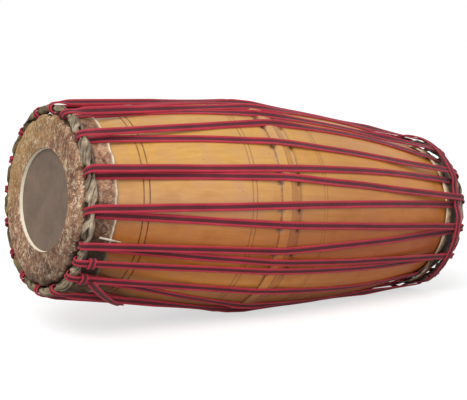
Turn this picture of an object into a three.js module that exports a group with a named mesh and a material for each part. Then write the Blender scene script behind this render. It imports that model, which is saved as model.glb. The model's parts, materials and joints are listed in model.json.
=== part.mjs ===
// A mridangam: a hollow jackwood barrel with a laced hide head on each end.
// The thoppi is the larger, plain bass head and the valanthalai the smaller head with the black patch.
// Millimetres and degrees. Inside the drum group X runs along the barrel from the end face of its thoppi
// end, and an angle round the barrel starts at the player's side (-Y) and grows downwards.
import * as THREE from "three";

// Barrel
const SHELL_LENGTH = 578;
const BELLY_FROM_THOPPI_END = 258;
const BELLY_RADIUS = 129.5;
const THOPPI_END_RADIUS = 93;
const VALANTHALAI_END_RADIUS = 85.5;
const THOPPI_TAPER = 1.5;
const VALANTHALAI_TAPER = 2.2;
const SHELL_WALL = 13;
const BAND_WIDTH = 28;
const BAND_RISE = 2.5;
const RIM_CHAMFER = 2;
const THOPPI_SIDE_STEPS = 9;
const VALANTHALAI_SIDE_STEPS = 11;
const BORE_STEPS = 4;

// Hide layers
const SKIN_THICKNESS = 0.8;
const RING_THICKNESS = 4.6;
const SKIRT_THICKNESS = 2.6;
const THOPPI_SKIRT_REACH = 36;
const VALANTHALAI_SKIRT_REACH = 24;
const SKIN_REACH = 15;
const INNER_RING_THICKNESS = 1.2;
const THOPPI_OPENING_RADIUS = 61;
const VALANTHALAI_OPENING_RADIUS = 50;
const PATCH_RADIUS = 42;
const PATCH_THICKNESS = 2;
const PATCH_RIM_THICKNESS = 0.6;
const PATCH_SHOULDER_THICKNESS = 1.6;
const PATCH_SHOULDER_RADIUS = 29;
const EDGE_ROUNDING = 4;
const ROUNDING_MIDDLE = 0.3;

// Plaited hoops, which are hammered along the barrel to tune the heads
const HOOP_WIDTH = 11;
const HOOP_HEIGHT = 10;
const HOOP_TRAVEL = 1;

// Lace: one flat woven strap
const LACE_WIDTH = 9.5;
const LACE_THICKNESS = 2;
const LOOP_SETBACK = 0.2;
const LOOP_STEPS = 8;
const LACE_TUCK = 2;
const LONGEST_LACE_STEP = 60;

// Clearances
const FIT = 0.3;
const HOOP_FIT = 0.6;
const LOOP_FIT = 0.9;
const RIM_STRAP_FIT = 0.5;

// The lace's route, as angles. Eye k of the thoppi hoop holds the end of over run k and the start of under
// run k. Eye k of the valanthalai hoop holds under run k and the over run that goes on to thoppi eye k + 1.
const OVER_RUNS_AT_THOPPI = [
  -45.6, -22.5, 0.3, 22, 33.5, 46.5, 67.5, 91, 114.5, 136.5, 159.5, 181.5, 201.5, 224, 248.5, 270.5, 293.5,
];
const UNDER_RUNS_AT_THOPPI = [
  -46, -20, 4, 25.2, 36.5, 49.5, 73, 93, 116.5, 138.5, 161.5, 183.5, 203.5, 226, 250.5, 272.5, 286,
];
const OVER_RUNS_AT_BELLY = [
  -54.8, -24.6, -5.2, 19.1, 31.6, 47, 76, 97, 118, 139, 161, 182.3, 203, 224.6, 247, 267, 287,
];
const UNDER_RUNS_AT_BELLY = [
  -40.2, -19.7, 5, 26, 46, 65, 88, 107, 128, 149, 171, 192, 213, 235, 257, 275.5, 297,
];
const VALANTHALAI_EYES = [
  -34.7, -13.5, 8.6, 32.8, 55, 76, 98, 118.5, 139, 160, 181, 202, 223, 243.5, 264, 281, 301.5,
];
const VALANTHALAI_EYE_SPREAD = 2.5;

// The lace starts at this thoppi eye, where its first run is hitched, and ends at the same valanthalai eye
const TIED_EYE = 4;
const TIED_END_REACH = 17;

// Strap round the back of the valanthalai hoop, threaded under the runs of a few eyes
const RIM_STRAP_UNDER_EYES = [1, 5, 9, 13];
const RIM_STRAP_START = -150;
const RIM_STRAP_OVERLAP = 9;
const RIM_STRAP_RAMP = 16;
const RIM_STRAP_STEPS = 96;
const RIM_STRAP_DIP = { from: 0.25, to: 0.75 };
const RIM_STRAP_NEIGHBOURS = 8;

// Hitches that tie off the lace beside the thoppi hoop, and the spare end below them
const HITCHED_EYES = [4, 5];
const HITCH_WIDTH = 8;
const HITCH_FROM_HOOP = 4;
const HITCH_STEPS = 20;
const HITCH_OPENING = 14;
const HITCH_SQUARENESS = 0.5;
const TAIL_ROUTE = [
  { x: 23.5, angle: 47.5, lift: 19.3 },
  { x: 34, angle: 52.5, lift: 18.6 },
  { x: 48, angle: 59, lift: 16.8 },
  { x: 60, angle: 64.3, lift: 15.6 },
  { x: 72, angle: 69.5, lift: 14.2 },
  { x: 84, angle: 74.5, lift: 13.2 },
  { x: 94, angle: 78.5, lift: 12.6 },
];

const SHELL_SEGMENTS = 48;
const HEAD_SEGMENTS = 40;
const HOOP_SIDES = 8;
const FULL_TURN = 360;

const JACKWOOD = { color: 0xcd9a5a, roughness: 0.45, metalness: 0 };
const RING_HIDE = { color: 0x8a6f57, roughness: 0.8, metalness: 0 };
const GOAT_SKIN = { color: 0x7d6d5d, roughness: 0.6, metalness: 0 };
const PLAITED_HIDE = { color: 0xb7a48a, roughness: 0.85, metalness: 0 };
const PATCH_PASTE = { color: 0x17161a, roughness: 0.7, metalness: 0 };
const LACE_WEBBING = { color: 0xa83248, roughness: 0.75, metalness: 0 };

const BAND_START = BELLY_FROM_THOPPI_END - BAND_WIDTH / 2;
const BAND_END = BELLY_FROM_THOPPI_END + BAND_WIDTH / 2;
const SKIN_OFFSET = FIT + SKIN_THICKNESS;
const SKIRT_OFFSET = SKIN_OFFSET + FIT + SKIRT_THICKNESS;

const toRadians = THREE.MathUtils.degToRad;

// The barrel's turned outer radius, without its belly band
function barrelRadius(x) {
  const thoppiSide = x < BELLY_FROM_THOPPI_END;
  const span = thoppiSide ? BELLY_FROM_THOPPI_END : SHELL_LENGTH - BELLY_FROM_THOPPI_END;
  const endRadius = thoppiSide ? THOPPI_END_RADIUS : VALANTHALAI_END_RADIUS;
  const taper = thoppiSide ? THOPPI_TAPER : VALANTHALAI_TAPER;
  const share = Math.abs(x - BELLY_FROM_THOPPI_END) / span;
  return BELLY_RADIUS - (BELLY_RADIUS - endRadius) * share ** taper;
}

function evenSteps(from, to, count) {
  return Array.from({ length: count + 1 }, (_, step) => from + ((to - from) * step) / count);
}

// The barrel's outline from end to end, with the raised band at its belly
function barrelOutline() {
  const bandRadius = BELLY_RADIUS + BAND_RISE;
  const outline = (x) => ({ x, r: barrelRadius(x) });
  return [
    ...evenSteps(0, BAND_START, THOPPI_SIDE_STEPS).map(outline),
    { x: BAND_START, r: bandRadius },
    { x: BAND_END, r: bandRadius },
    ...evenSteps(BAND_END, SHELL_LENGTH, VALANTHALAI_SIDE_STEPS).map(outline),
  ];
}

// A ring or barrel turned from a closed outline of { x, r } points
function turned(outline, segments) {
  const points = outline.map(({ x, r }) => new THREE.Vector2(r, x));
  if (points[0].x > 0) {
    points.push(points[0].clone());
  }
  return new THREE.LatheGeometry(points, segments).rotateZ(-Math.PI / 2);
}

const drum = new THREE.Group();

function addPiece(name, geometry, finish) {
  const piece = new THREE.Mesh(geometry, new THREE.MeshStandardMaterial(finish));
  piece.name = name;
  drum.add(piece);
  return piece;
}

// Each head is described from its own barrel end: depth grows outwards from the end face
const THOPPI = {
  name: "thoppi",
  endRadius: THOPPI_END_RADIUS,
  openingRadius: THOPPI_OPENING_RADIUS,
  skirtReach: THOPPI_SKIRT_REACH,
  skinFrom: FIT,
  along: (depth) => -depth,
};
const VALANTHALAI = {
  name: "valanthalai",
  endRadius: VALANTHALAI_END_RADIUS,
  openingRadius: VALANTHALAI_OPENING_RADIUS,
  skirtReach: VALANTHALAI_SKIRT_REACH,
  skinFrom: FIT + INNER_RING_THICKNESS + FIT,
  along: (depth) => SHELL_LENGTH + depth,
};
for (const head of [THOPPI, VALANTHALAI]) {
  head.ringFrom = head.skinFrom + SKIN_THICKNESS + FIT;
  head.face = head.ringFrom + RING_THICKNESS;
  head.surface = (depth, offset) => barrelRadius(head.along(Math.min(depth, 0))) + offset;
  head.loopReach = HOOP_WIDTH / 2 + HOOP_TRAVEL + LOOP_FIT + LACE_THICKNESS;
  head.hoopDepth = head.face - LOOP_SETBACK - head.loopReach;
  head.laceUnder = (depth) => head.surface(depth, SKIRT_OFFSET + FIT + LACE_THICKNESS / 2);
  head.hoopRadius =
    head.laceUnder(head.hoopDepth - HOOP_WIDTH / 4) + LACE_THICKNESS / 2 + HOOP_FIT + HOOP_HEIGHT / 2;
  head.laceOver = head.hoopRadius + HOOP_HEIGHT / 2 + FIT + LACE_THICKNESS / 2;
  head.laceJoin = head.hoopDepth - HOOP_WIDTH / 2 - LACE_TUCK;
}

// A head's outline turned about the barrel axis; the thoppi is the mirror image of the valanthalai
function turnedOnHead(head, outline) {
  const placed = outline.map(({ depth, r }) => ({ x: head.along(depth), r }));
  return turned(head === THOPPI ? placed.reverse() : placed, HEAD_SEGMENTS);
}

function addShell() {
  const outer = barrelOutline();
  const inner = [...evenSteps(0, SHELL_LENGTH, BORE_STEPS), BELLY_FROM_THOPPI_END]
    .sort((a, b) => a - b)
    .map((x) => ({ x, r: barrelRadius(x) - SHELL_WALL }));
  const body = outer.slice(1, -1);
  const first = { x: 0, r: THOPPI_END_RADIUS - RIM_CHAMFER };
  const firstSide = { x: RIM_CHAMFER, r: barrelRadius(RIM_CHAMFER) };
  const lastSide = { x: SHELL_LENGTH - RIM_CHAMFER, r: barrelRadius(SHELL_LENGTH - RIM_CHAMFER) };
  const last = { x: SHELL_LENGTH, r: VALANTHALAI_END_RADIUS - RIM_CHAMFER };
  const outline = [first, firstSide, ...body, lastSide, last, ...inner.reverse()];
  addPiece("shell", turned(outline, SHELL_SEGMENTS), JACKWOOD);
}

// The thin skin that sounds: a disc drawn down over the barrel's rim
function addPlayingSkin(head) {
  const outline = [
    { depth: head.skinFrom, r: 0 },
    { depth: head.skinFrom, r: head.surface(0, FIT) },
    { depth: -SKIN_REACH, r: head.surface(-SKIN_REACH, FIT) },
    { depth: -SKIN_REACH, r: head.surface(-SKIN_REACH, SKIN_OFFSET) },
    { depth: 0, r: head.surface(0, SKIN_OFFSET) },
    { depth: head.skinFrom + SKIN_THICKNESS, r: head.surface(0, FIT) },
    { depth: head.skinFrom + SKIN_THICKNESS, r: 0 },
  ];
  addPiece(head.name + "_playing_skin", turnedOnHead(head, outline), GOAT_SKIN);
}

// The thick hide ring on the face, whose outer part is drawn down the barrel as a skirt
function addOuterRing(head) {
  const rim = head.surface(0, SKIRT_OFFSET);
  const under = SKIN_OFFSET + FIT;
  const outline = [
    { depth: head.ringFrom, r: head.openingRadius },
    { depth: head.ringFrom, r: head.surface(0, FIT) },
    { depth: 0, r: head.surface(0, under) },
    { depth: -head.skirtReach, r: head.surface(-head.skirtReach, under) },
    { depth: -head.skirtReach, r: head.surface(-head.skirtReach, SKIRT_OFFSET) },
    { depth: 0, r: rim },
    { depth: head.face - EDGE_ROUNDING, r: rim },
    { depth: head.face - EDGE_ROUNDING * ROUNDING_MIDDLE, r: rim - EDGE_ROUNDING * ROUNDING_MIDDLE },
    { depth: head.face, r: rim - EDGE_ROUNDING },
    { depth: head.face, r: head.openingRadius },
  ];
  addPiece(head.name + "_outer_ring", turnedOnHead(head, outline), RING_HIDE);
}

// The hide ring between the valanthalai's skin and the barrel's end
function addInnerRing(head) {
  const outline = [
    { depth: FIT, r: head.openingRadius },
    { depth: FIT, r: head.endRadius },
    { depth: FIT + INNER_RING_THICKNESS, r: head.endRadius },
    { depth: FIT + INNER_RING_THICKNESS, r: head.openingRadius },
  ];
  addPiece(head.name + "_inner_ring", turnedOnHead(head, outline), RING_HIDE);
}

// The black paste patch, built up in thinning layers on the middle of the skin
function addPatch(head) {
  const base = head.skinFrom + SKIN_THICKNESS + FIT;
  const outline = [
    { depth: base, r: 0 },
    { depth: base, r: PATCH_RADIUS },
    { depth: base + PATCH_RIM_THICKNESS, r: PATCH_RADIUS },
    { depth: base + PATCH_SHOULDER_THICKNESS, r: PATCH_SHOULDER_RADIUS },
    { depth: base + PATCH_THICKNESS, r: 0 },
  ];
  addPiece("karanai_patch", turnedOnHead(head, outline), PATCH_PASTE);
}

function addHoop(head) {
  const outline = evenSteps(0, 2 * Math.PI, HOOP_SIDES).slice(1);
  const section = outline.map((turn) => ({
    depth: head.hoopDepth + (HOOP_WIDTH / 2) * Math.sin(turn),
    r: head.hoopRadius - (HOOP_HEIGHT / 2) * Math.cos(turn),
  }));
  addPiece(head.name + "_hoop", turnedOnHead(head, section.reverse()), PLAITED_HIDE);
}

function outwards(angle) {
  return new THREE.Vector3(0, -Math.cos(toRadians(angle)), -Math.sin(toRadians(angle)));
}

function pointOn({ x, r, angle }) {
  return outwards(angle).multiplyScalar(r).setX(x);
}

// A flat strap swept along a route. Each place gives its point and the way its outer face looks.
function strap(places, width) {
  const corners = places.flatMap(({ point, face }, step) => {
    const before = places[Math.max(step - 1, 0)].point;
    const after = places[Math.min(step + 1, places.length - 1)].point;
    const ahead = after.clone().sub(before).normalize();
    const across = ahead.clone().cross(face).normalize();
    const out = across.clone().cross(ahead).multiplyScalar(LACE_THICKNESS / 2);
    across.multiplyScalar(width / 2);
    return [
      point.clone().add(across).add(out),
      point.clone().sub(across).add(out),
      point.clone().sub(across).sub(out),
      point.clone().add(across).sub(out),
    ];
  });
  const triangles = [0, 1, 2, 0, 2, 3];
  for (let step = 0; step < places.length - 1; step += 1) {
    for (let side = 0; side < 4; side += 1) {
      const a = step * 4 + side;
      const b = step * 4 + ((side + 1) % 4);
      triangles.push(a, a + 4, b + 4, a, b + 4, b);
    }
  }
  const end = (places.length - 1) * 4;
  triangles.push(end, end + 2, end + 1, end, end + 3, end + 2);
  return new THREE.BufferGeometry().setFromPoints(corners).setIndex(triangles);
}

// The taut line from start to end over what lies below it: the upper hull of { x, r } points
function tautOver(points) {
  const hull = [];
  for (const point of points) {
    while (hull.length > 1) {
      const [a, b] = hull.slice(-2);
      const rises = (b.r - a.r) * (point.x - a.x) > (point.r - a.r) * (b.x - a.x);
      if (rises) {
        break;
      }
      hull.pop();
    }
    hull.push(point);
  }
  return hull;
}

// What a run lies on: both skirts' edges and the barrel
function laceBed() {
  const lift = FIT + LACE_THICKNESS / 2;
  const skirtEdges = [THOPPI, VALANTHALAI].map((head) => ({
    x: head.along(-head.skirtReach),
    r: head.surface(-head.skirtReach, SKIRT_OFFSET + lift),
  }));
  const barrel = barrelOutline().map(({ x, r }) => ({ x, r: r + lift }));
  const between = ({ x }) => x > skirtEdges[0].x && x < skirtEdges[1].x;
  return [skirtEdges[0], ...barrel.filter(between), skirtEdges[1]];
}

// The { x, r } line of a run, over the hoop at overHead and under the other one
function runLine(overHead, underHead) {
  const overEnd = { x: overHead.along(overHead.hoopDepth), r: overHead.laceOver };
  const joinDepth = underHead.laceJoin - LOOP_FIT;
  const underEnd = { x: underHead.along(joinDepth), r: underHead.laceUnder(joinDepth) };
  const ends = overHead === THOPPI ? [overEnd, underEnd] : [underEnd, overEnd];
  return tautOver([ends[0], ...laceBed(), ends[1]]);
}

// A line's radius at x, and how fast it rises there
function onLine(line, x) {
  const next = Math.max(1, line.findIndex((point) => point.x >= x));
  const a = line[next - 1];
  const b = line[next];
  const rise = (b.r - a.r) / (b.x - a.x);
  return { r: a.r + rise * (x - a.x), rise };
}

// A run's angle at x: straight from each eye to the belly
function runAngle(angles, x) {
  const { thoppi, belly, valanthalai } = angles;
  return x < BELLY_FROM_THOPPI_END
    ? THREE.MathUtils.mapLinear(x, 0, BELLY_FROM_THOPPI_END, thoppi, belly)
    : THREE.MathUtils.mapLinear(x, BELLY_FROM_THOPPI_END, SHELL_LENGTH, belly, valanthalai);
}

function subdivided(line) {
  return line.flatMap((point, index) => {
    const next = line[index + 1];
    if (!next) {
      return [point];
    }
    const count = Math.ceil((next.x - point.x) / LONGEST_LACE_STEP);
    return evenSteps(0, 1, count).slice(0, -1).map((share) => ({
      x: THREE.MathUtils.lerp(point.x, next.x, share),
      r: THREE.MathUtils.lerp(point.r, next.r, share),
    }));
  });
}

// The loop of a run round the front of its hoop, from below the hoop to the top of it
function loopPlaces(head, underAngle, overAngle) {
  const low = head.laceUnder(head.hoopDepth);
  const middle = (low + head.laceOver) / 2;
  const height = (head.laceOver - low) / 2;
  const reach = head.loopReach - LACE_THICKNESS / 2;
  const sideways = Math.sign(head.along(1) - head.along(0));
  const place = (depth, r, angle, faceDepth, faceRadius) => ({
    point: pointOn({ x: head.along(depth), r, angle }),
    face: outwards(angle).multiplyScalar(faceRadius).setX(faceDepth * sideways),
  });
  const tucked = place(head.laceJoin, head.laceUnder(head.laceJoin), underAngle, 0, -1);
  const round = evenSteps(-Math.PI / 2, Math.PI / 2, LOOP_STEPS).map((turn) => {
    const share = turn / Math.PI + 0.5;
    const angle = THREE.MathUtils.lerp(underAngle, overAngle, share);
    const depth = head.hoopDepth + reach * Math.cos(turn);
    return place(depth, middle + height * Math.sin(turn), angle, Math.cos(turn), Math.sin(turn));
  });
  return [tucked, ...round];
}

// One run of the lace: its loop round the hoop that it lies over, then its way along the line
function addRun(name, overHead, wholeLine, angles, loopUnderAngle) {
  const line = subdivided(wholeLine);
  const ordered = overHead === THOPPI ? line : line.reverse();
  const loop = loopPlaces(overHead, loopUnderAngle, runAngle(angles, ordered[0].x));
  const way = ordered.slice(1).map(({ x, r }) => {
    const angle = runAngle(angles, x);
    return { point: pointOn({ x, r, angle }), face: outwards(angle) };
  });
  addPiece(name, strap([...loop, ...way], LACE_WIDTH), LACE_WEBBING);
}

// The part of a run's line that lies behind the valanthalai hoop
function tiedLine(line) {
  const x = VALANTHALAI.along(VALANTHALAI.hoopDepth - TIED_END_REACH);
  return [{ x, r: onLine(line, x).r }, ...line.filter((point) => point.x > x)];
}

function addLace() {
  const overLine = runLine(THOPPI, VALANTHALAI);
  const underLine = runLine(VALANTHALAI, THOPPI);
  OVER_RUNS_AT_THOPPI.forEach((angle, index) => {
    const label = String(index + 1).padStart(2, "0");
    const last = (index + VALANTHALAI_EYES.length - 1) % VALANTHALAI_EYES.length;
    const turnBack = index === 0 ? -FULL_TURN : 0;
    const over = {
      thoppi: angle,
      belly: OVER_RUNS_AT_BELLY[index],
      valanthalai: VALANTHALAI_EYES[last] + turnBack + VALANTHALAI_EYE_SPREAD,
    };
    const under = {
      thoppi: UNDER_RUNS_AT_THOPPI[index],
      belly: UNDER_RUNS_AT_BELLY[index],
      valanthalai: VALANTHALAI_EYES[index] - VALANTHALAI_EYE_SPREAD,
    };
    const farUnder = VALANTHALAI_EYES[index] + VALANTHALAI_EYE_SPREAD;
    addRun("lace_over_run_" + label, THOPPI, overLine, over, under.thoppi);
    if (index === TIED_EYE) {
      addRun("lace_tied_end", VALANTHALAI, tiedLine(underLine), under, farUnder);
    } else {
      addRun("lace_under_run_" + label, VALANTHALAI, underLine, under, farUnder);
    }
  });
}

// The least distance between stretches of a route that don't follow each other, less the strap's thickness
function leastSelfGap(places, neighbours) {
  let least = Infinity;
  places.forEach((a, i) => {
    places.slice(i + neighbours).forEach((b) => {
      least = Math.min(least, a.point.distanceTo(b.point) - LACE_THICKNESS);
    });
  });
  return least;
}

// The turn between two angles round the barrel, the short way
function turnBetween(a, b) {
  return Math.abs(THREE.MathUtils.euclideanModulo(a - b + FULL_TURN / 2, FULL_TURN) - FULL_TURN / 2);
}

// The strap behind the valanthalai hoop: over most runs, under a few, with its end lapped over its start
function addRimStrap() {
  const depth = VALANTHALAI.hoopDepth - HOOP_WIDTH / 2 - HOOP_TRAVEL - FIT - LACE_WIDTH / 2;
  const x = VALANTHALAI.along(depth);
  const lane = onLine(runLine(VALANTHALAI, THOPPI), x);
  const step = LACE_THICKNESS + RIM_STRAP_FIT;
  const pitch = FULL_TURN / VALANTHALAI_EYES.length;
  const dipFrom = pitch * RIM_STRAP_DIP.from;
  const dipTo = pitch * RIM_STRAP_DIP.to;
  const dipped = RIM_STRAP_UNDER_EYES.map((eye) => VALANTHALAI_EYES[eye] - VALANTHALAI_EYE_SPREAD);
  const finish = RIM_STRAP_START + FULL_TURN + RIM_STRAP_OVERLAP;
  const places = evenSteps(RIM_STRAP_START, finish, RIM_STRAP_STEPS).map((angle) => {
    const away = Math.min(...dipped.map((eye) => turnBetween(angle, eye)));
    const level = THREE.MathUtils.smoothstep(away, dipFrom, dipTo) * 2 - 1;
    const lap = THREE.MathUtils.smoothstep(angle, finish - RIM_STRAP_OVERLAP - RIM_STRAP_RAMP,
      finish - RIM_STRAP_OVERLAP - RIM_STRAP_RAMP / 4);
    const r = lane.r + step * (level + lap);
    return { point: pointOn({ x, r, angle }), face: outwards(angle).setX(-lane.rise) };
  });
  console.log("rim strap: least gap to itself", leastSelfGap(places, RIM_STRAP_NEIGHBOURS).toFixed(2), "mm");
  addPiece("valanthalai_rim_strap", strap(places, LACE_WIDTH), LACE_WEBBING);
}

// One turn of the lace wound round an over run, open on the side that faces the barrel
function addHitch(name, eye) {
  const x = THOPPI.along(THOPPI.hoopDepth - HOOP_WIDTH / 2 - HOOP_TRAVEL - HITCH_FROM_HOOP);
  const angle = runAngle(
    { thoppi: OVER_RUNS_AT_THOPPI[eye], belly: OVER_RUNS_AT_BELLY[eye] },
    x,
  );
  const { r, rise } = onLine(runLine(THOPPI, VALANTHALAI), x);
  const middle = pointOn({ x, r, angle });
  const along = outwards(angle).multiplyScalar(rise).setX(1).normalize();
  const out = outwards(angle).setX(-rise).normalize();
  const across = out.clone().cross(along);
  const halfWidth = LACE_WIDTH / 2 + HOOP_FIT + LACE_THICKNESS / 2;
  const halfHeight = LACE_THICKNESS + HOOP_FIT;
  const squared = (value) => Math.sign(value) * Math.abs(value) ** HITCH_SQUARENESS;
  const opening = toRadians(HITCH_OPENING);
  const turns = evenSteps(opening - Math.PI / 2, (3 * Math.PI) / 2 - opening, HITCH_STEPS);
  const places = turns.map((turn) => {
    const sideShare = across.clone().multiplyScalar(halfWidth * squared(Math.cos(turn)));
    const outShare = out.clone().multiplyScalar(halfHeight * squared(Math.sin(turn)));
    const face = across.clone().multiplyScalar(Math.cos(turn)).addScaledVector(out, Math.sin(turn));
    return { point: middle.clone().add(sideShare).add(outShare), face };
  });
  console.log(name + ": least gap to itself", leastSelfGap(places, HITCH_STEPS / 2).toFixed(2), "mm");
  addPiece(name, strap(places, HITCH_WIDTH), LACE_WEBBING);
}

function addTail() {
  const places = TAIL_ROUTE.map(({ x, angle, lift }) => {
    const r = barrelRadius(x) + lift;
    return { point: pointOn({ x, r, angle }), face: outwards(angle) };
  });
  addPiece("lace_tail", strap(places, LACE_WIDTH), LACE_WEBBING);
}

addShell();
for (const head of [THOPPI, VALANTHALAI]) {
  addPlayingSkin(head);
  addOuterRing(head);
  addHoop(head);
}
addInnerRing(VALANTHALAI);
addPatch(VALANTHALAI);
addLace();
addRimStrap();
addHitch("lace_hitch_upper", HITCHED_EYES[0]);
addHitch("lace_hitch_lower", HITCHED_EYES[1]);
addTail();

// The drum lies on its belly and on the strap behind its smaller hoop, so its axis tilts
const bellyContact = { x: BAND_END, r: BELLY_RADIUS + BAND_RISE + FIT + LACE_THICKNESS };
const endContact = {
  x: VALANTHALAI.along(VALANTHALAI.hoopDepth - HOOP_WIDTH / 2),
  r: VALANTHALAI.laceOver + LACE_THICKNESS,
};
drum.rotation.y = Math.atan2(bellyContact.r - endContact.r, endContact.x - bellyContact.x);

const group = new THREE.Group();
group.add(drum);
group.updateMatrixWorld(true);
const box = new THREE.Box3().setFromObject(drum, true);
const centre = box.getCenter(new THREE.Vector3());
drum.position.set(-centre.x, -centre.y, -box.min.z);

export default group;
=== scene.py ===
"""The looks of a mridangam, a laced two-headed barrel drum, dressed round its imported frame.

Sizes are in millimetres in the drum's own space and become metres when a mesh is made. In that space X runs
along the barrel from the end face of its thoppi end, and an angle round the barrel starts at the side that
the camera sees (-Y) and grows downwards.
"""

import json
import logging
import math
from collections.abc import Callable, Sequence
from dataclasses import dataclass, field
from enum import Enum
from functools import partial

import bpy
import numpy as np
from mathutils import Matrix, Vector, noise


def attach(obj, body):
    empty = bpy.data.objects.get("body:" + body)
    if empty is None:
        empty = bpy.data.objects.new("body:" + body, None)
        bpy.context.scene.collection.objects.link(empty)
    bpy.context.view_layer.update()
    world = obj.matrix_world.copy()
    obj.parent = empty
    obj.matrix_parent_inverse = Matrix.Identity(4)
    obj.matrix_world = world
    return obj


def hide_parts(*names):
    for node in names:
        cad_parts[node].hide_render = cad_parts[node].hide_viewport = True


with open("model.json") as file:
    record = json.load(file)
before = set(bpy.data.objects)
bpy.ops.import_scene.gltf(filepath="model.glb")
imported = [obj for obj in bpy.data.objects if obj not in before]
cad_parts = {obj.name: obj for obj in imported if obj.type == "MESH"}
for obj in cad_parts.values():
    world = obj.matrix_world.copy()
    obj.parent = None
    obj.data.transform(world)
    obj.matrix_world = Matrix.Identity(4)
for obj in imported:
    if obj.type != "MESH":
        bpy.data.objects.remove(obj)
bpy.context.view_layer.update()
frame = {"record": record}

MM = 0.001
LOG = logging.getLogger("mridangam")

Point = tuple[float, float]


def linear(hex_colour: str) -> tuple[float, float, float, float]:
    """Turns an sRGB hex colour into linear RGBA.

    Args:
        hex_colour: six hex digits.

    Returns:
        The linear colour with full alpha.
    """
    values = [int(hex_colour[i : i + 2], 16) / 255 for i in (0, 2, 4)]
    red, green, blue = (v / 12.92 if v <= 0.04045 else ((v + 0.055) / 1.055) ** 2.4 for v in values)
    return (red, green, blue, 1.0)


def add_node(
    tree: bpy.types.NodeTree,
    kind: str,
    inputs: dict[str | int, object] | None = None,
    stops: Sequence[tuple[float, str]] | None = None,
    **settings: object,
) -> bpy.types.Node:
    """Adds a node with its settings, its input values or links, and its colour stops.

    Args:
        tree: the node tree.
        kind: the node's type name without the ShaderNode prefix.
        inputs: values, nodes or output sockets, by input name, or by number where inputs share a name.
        stops: places and hex colours of a colour ramp.
        **settings: the node's own properties.

    Returns:
        The new node.
    """
    node = tree.nodes.new("ShaderNode" + kind)
    for key, value in settings.items():
        setattr(node, key, value)
    for key, value in (inputs or {}).items():
        named = [socket for socket in node.inputs if socket.enabled and socket.name == key]
        socket = named[0] if named else node.inputs[key]
        if isinstance(value, bpy.types.Node):
            value = next(output for output in value.outputs if output.enabled)
        if isinstance(value, bpy.types.NodeSocket):
            tree.links.new(value, socket)
        else:
            socket.default_value = value
    if stops:
        ramp = node.color_ramp
        while len(ramp.elements) < len(stops):
            ramp.elements.new(1.0)
        for element, (place, colour) in zip(ramp.elements, stops):
            element.position = place
            element.color = linear(colour)
    return node


def new_material(name: str) -> tuple[bpy.types.Material, Callable[..., bpy.types.Node]]:
    """Makes an empty node material.

    Args:
        name: the material's name.

    Returns:
        The material, and add_node for its tree.
    """
    material = bpy.data.materials.new(name)
    material.use_nodes = True
    material.node_tree.nodes.clear()
    return material, partial(add_node, material.node_tree)


def deselect() -> None:
    """Leaves edit mode and deselects every object."""
    if bpy.context.object and bpy.context.object.mode != "OBJECT":
        bpy.ops.object.mode_set(mode="OBJECT")
    bpy.ops.object.select_all(action="DESELECT")


def pick(piece: bpy.types.Object) -> None:
    """Selects one piece alone and makes it the active object.

    Args:
        piece: the object.
    """
    deselect()
    piece.select_set(True)
    bpy.context.view_layer.objects.active = piece


def face_outwards(piece: bpy.types.Object) -> None:
    """Turns all faces of a piece outwards.

    Args:
        piece: an object with a closed mesh.
    """
    pick(piece)
    bpy.ops.object.mode_set(mode="EDIT")
    bpy.ops.mesh.select_all(action="SELECT")
    bpy.ops.mesh.normals_make_consistent(inside=False)
    bpy.ops.object.mode_set(mode="OBJECT")


def outwards(angle: float) -> np.ndarray:
    """Gives the unit vector from the barrel's axis at an angle in degrees."""
    turn = math.radians(angle)
    return np.array([0.0, -math.cos(turn), -math.sin(turn)])


def point_on(x: float, r: float, angle: float) -> np.ndarray:
    """Gives the point at x along the barrel, r from its axis, at an angle in degrees."""
    return outwards(angle) * r + np.array([x, 0.0, 0.0])


def smoothstep(value: float, low: float, high: float) -> float:
    """Eases from 0 at low to 1 at high."""
    share = min(max((value - low) / (high - low), 0.0), 1.0)
    return share * share * (3 - 2 * share)


def blend(a: float, b: float, share: float) -> float:
    """Goes from a to b by a share of the way."""
    return a + (b - a) * share


def turn_to_nearest(angle: float, others: Sequence[float]) -> float:
    """Gives the turn, 0 to 180 degrees, from an angle to the nearest of others."""
    return min(abs((angle - other + 180) % 360 - 180) for other in others)


@dataclass(frozen=True)
class DrumSpace:
    """Where the drum lies in the shared frame."""

    origin: Vector
    tilt: float

    RING_MIDDLE = 77.0
    FACE_DEPTH = 6.0

    @classmethod
    def from_record(cls, record: dict) -> "DrumSpace":
        """Reads the drum's place from its larger head's mount.

        Args:
            record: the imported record.

        Returns:
            The drum's space.
        """
        mount = next(m for m in record["mounts"] if m["name"] == "thoppi_face")
        axis = -Vector(mount["axis"]).normalized()
        middle = Vector(mount["pos_m"]) + Vector((0, cls.RING_MIDDLE * MM, 0))
        return cls(middle + axis * cls.FACE_DEPTH * MM, math.atan2(-axis.z, axis.x))

    @property
    def matrix(self) -> Matrix:
        """Gives the move from the drum's space, in metres, to the shared frame."""
        return Matrix.Translation(self.origin) @ Matrix.Rotation(self.tilt, 4, "Y")

    def settle(self, piece: bpy.types.Object) -> None:
        """Keeps a piece's drum coordinates as an attribute and puts its mesh where the drum lies.

        Args:
            piece: an object modelled in the drum's space, in metres.
        """
        mesh = piece.data
        local = np.empty(len(mesh.vertices) * 3, np.float32)
        mesh.vertices.foreach_get("co", local)
        mesh.attributes.new("drum_place", "FLOAT_VECTOR", "POINT").data.foreach_set("vector", local)
        pick(piece)
        piece.matrix_world = self.matrix
        bpy.ops.object.transform_apply(location=True, rotation=True, scale=True)


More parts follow.
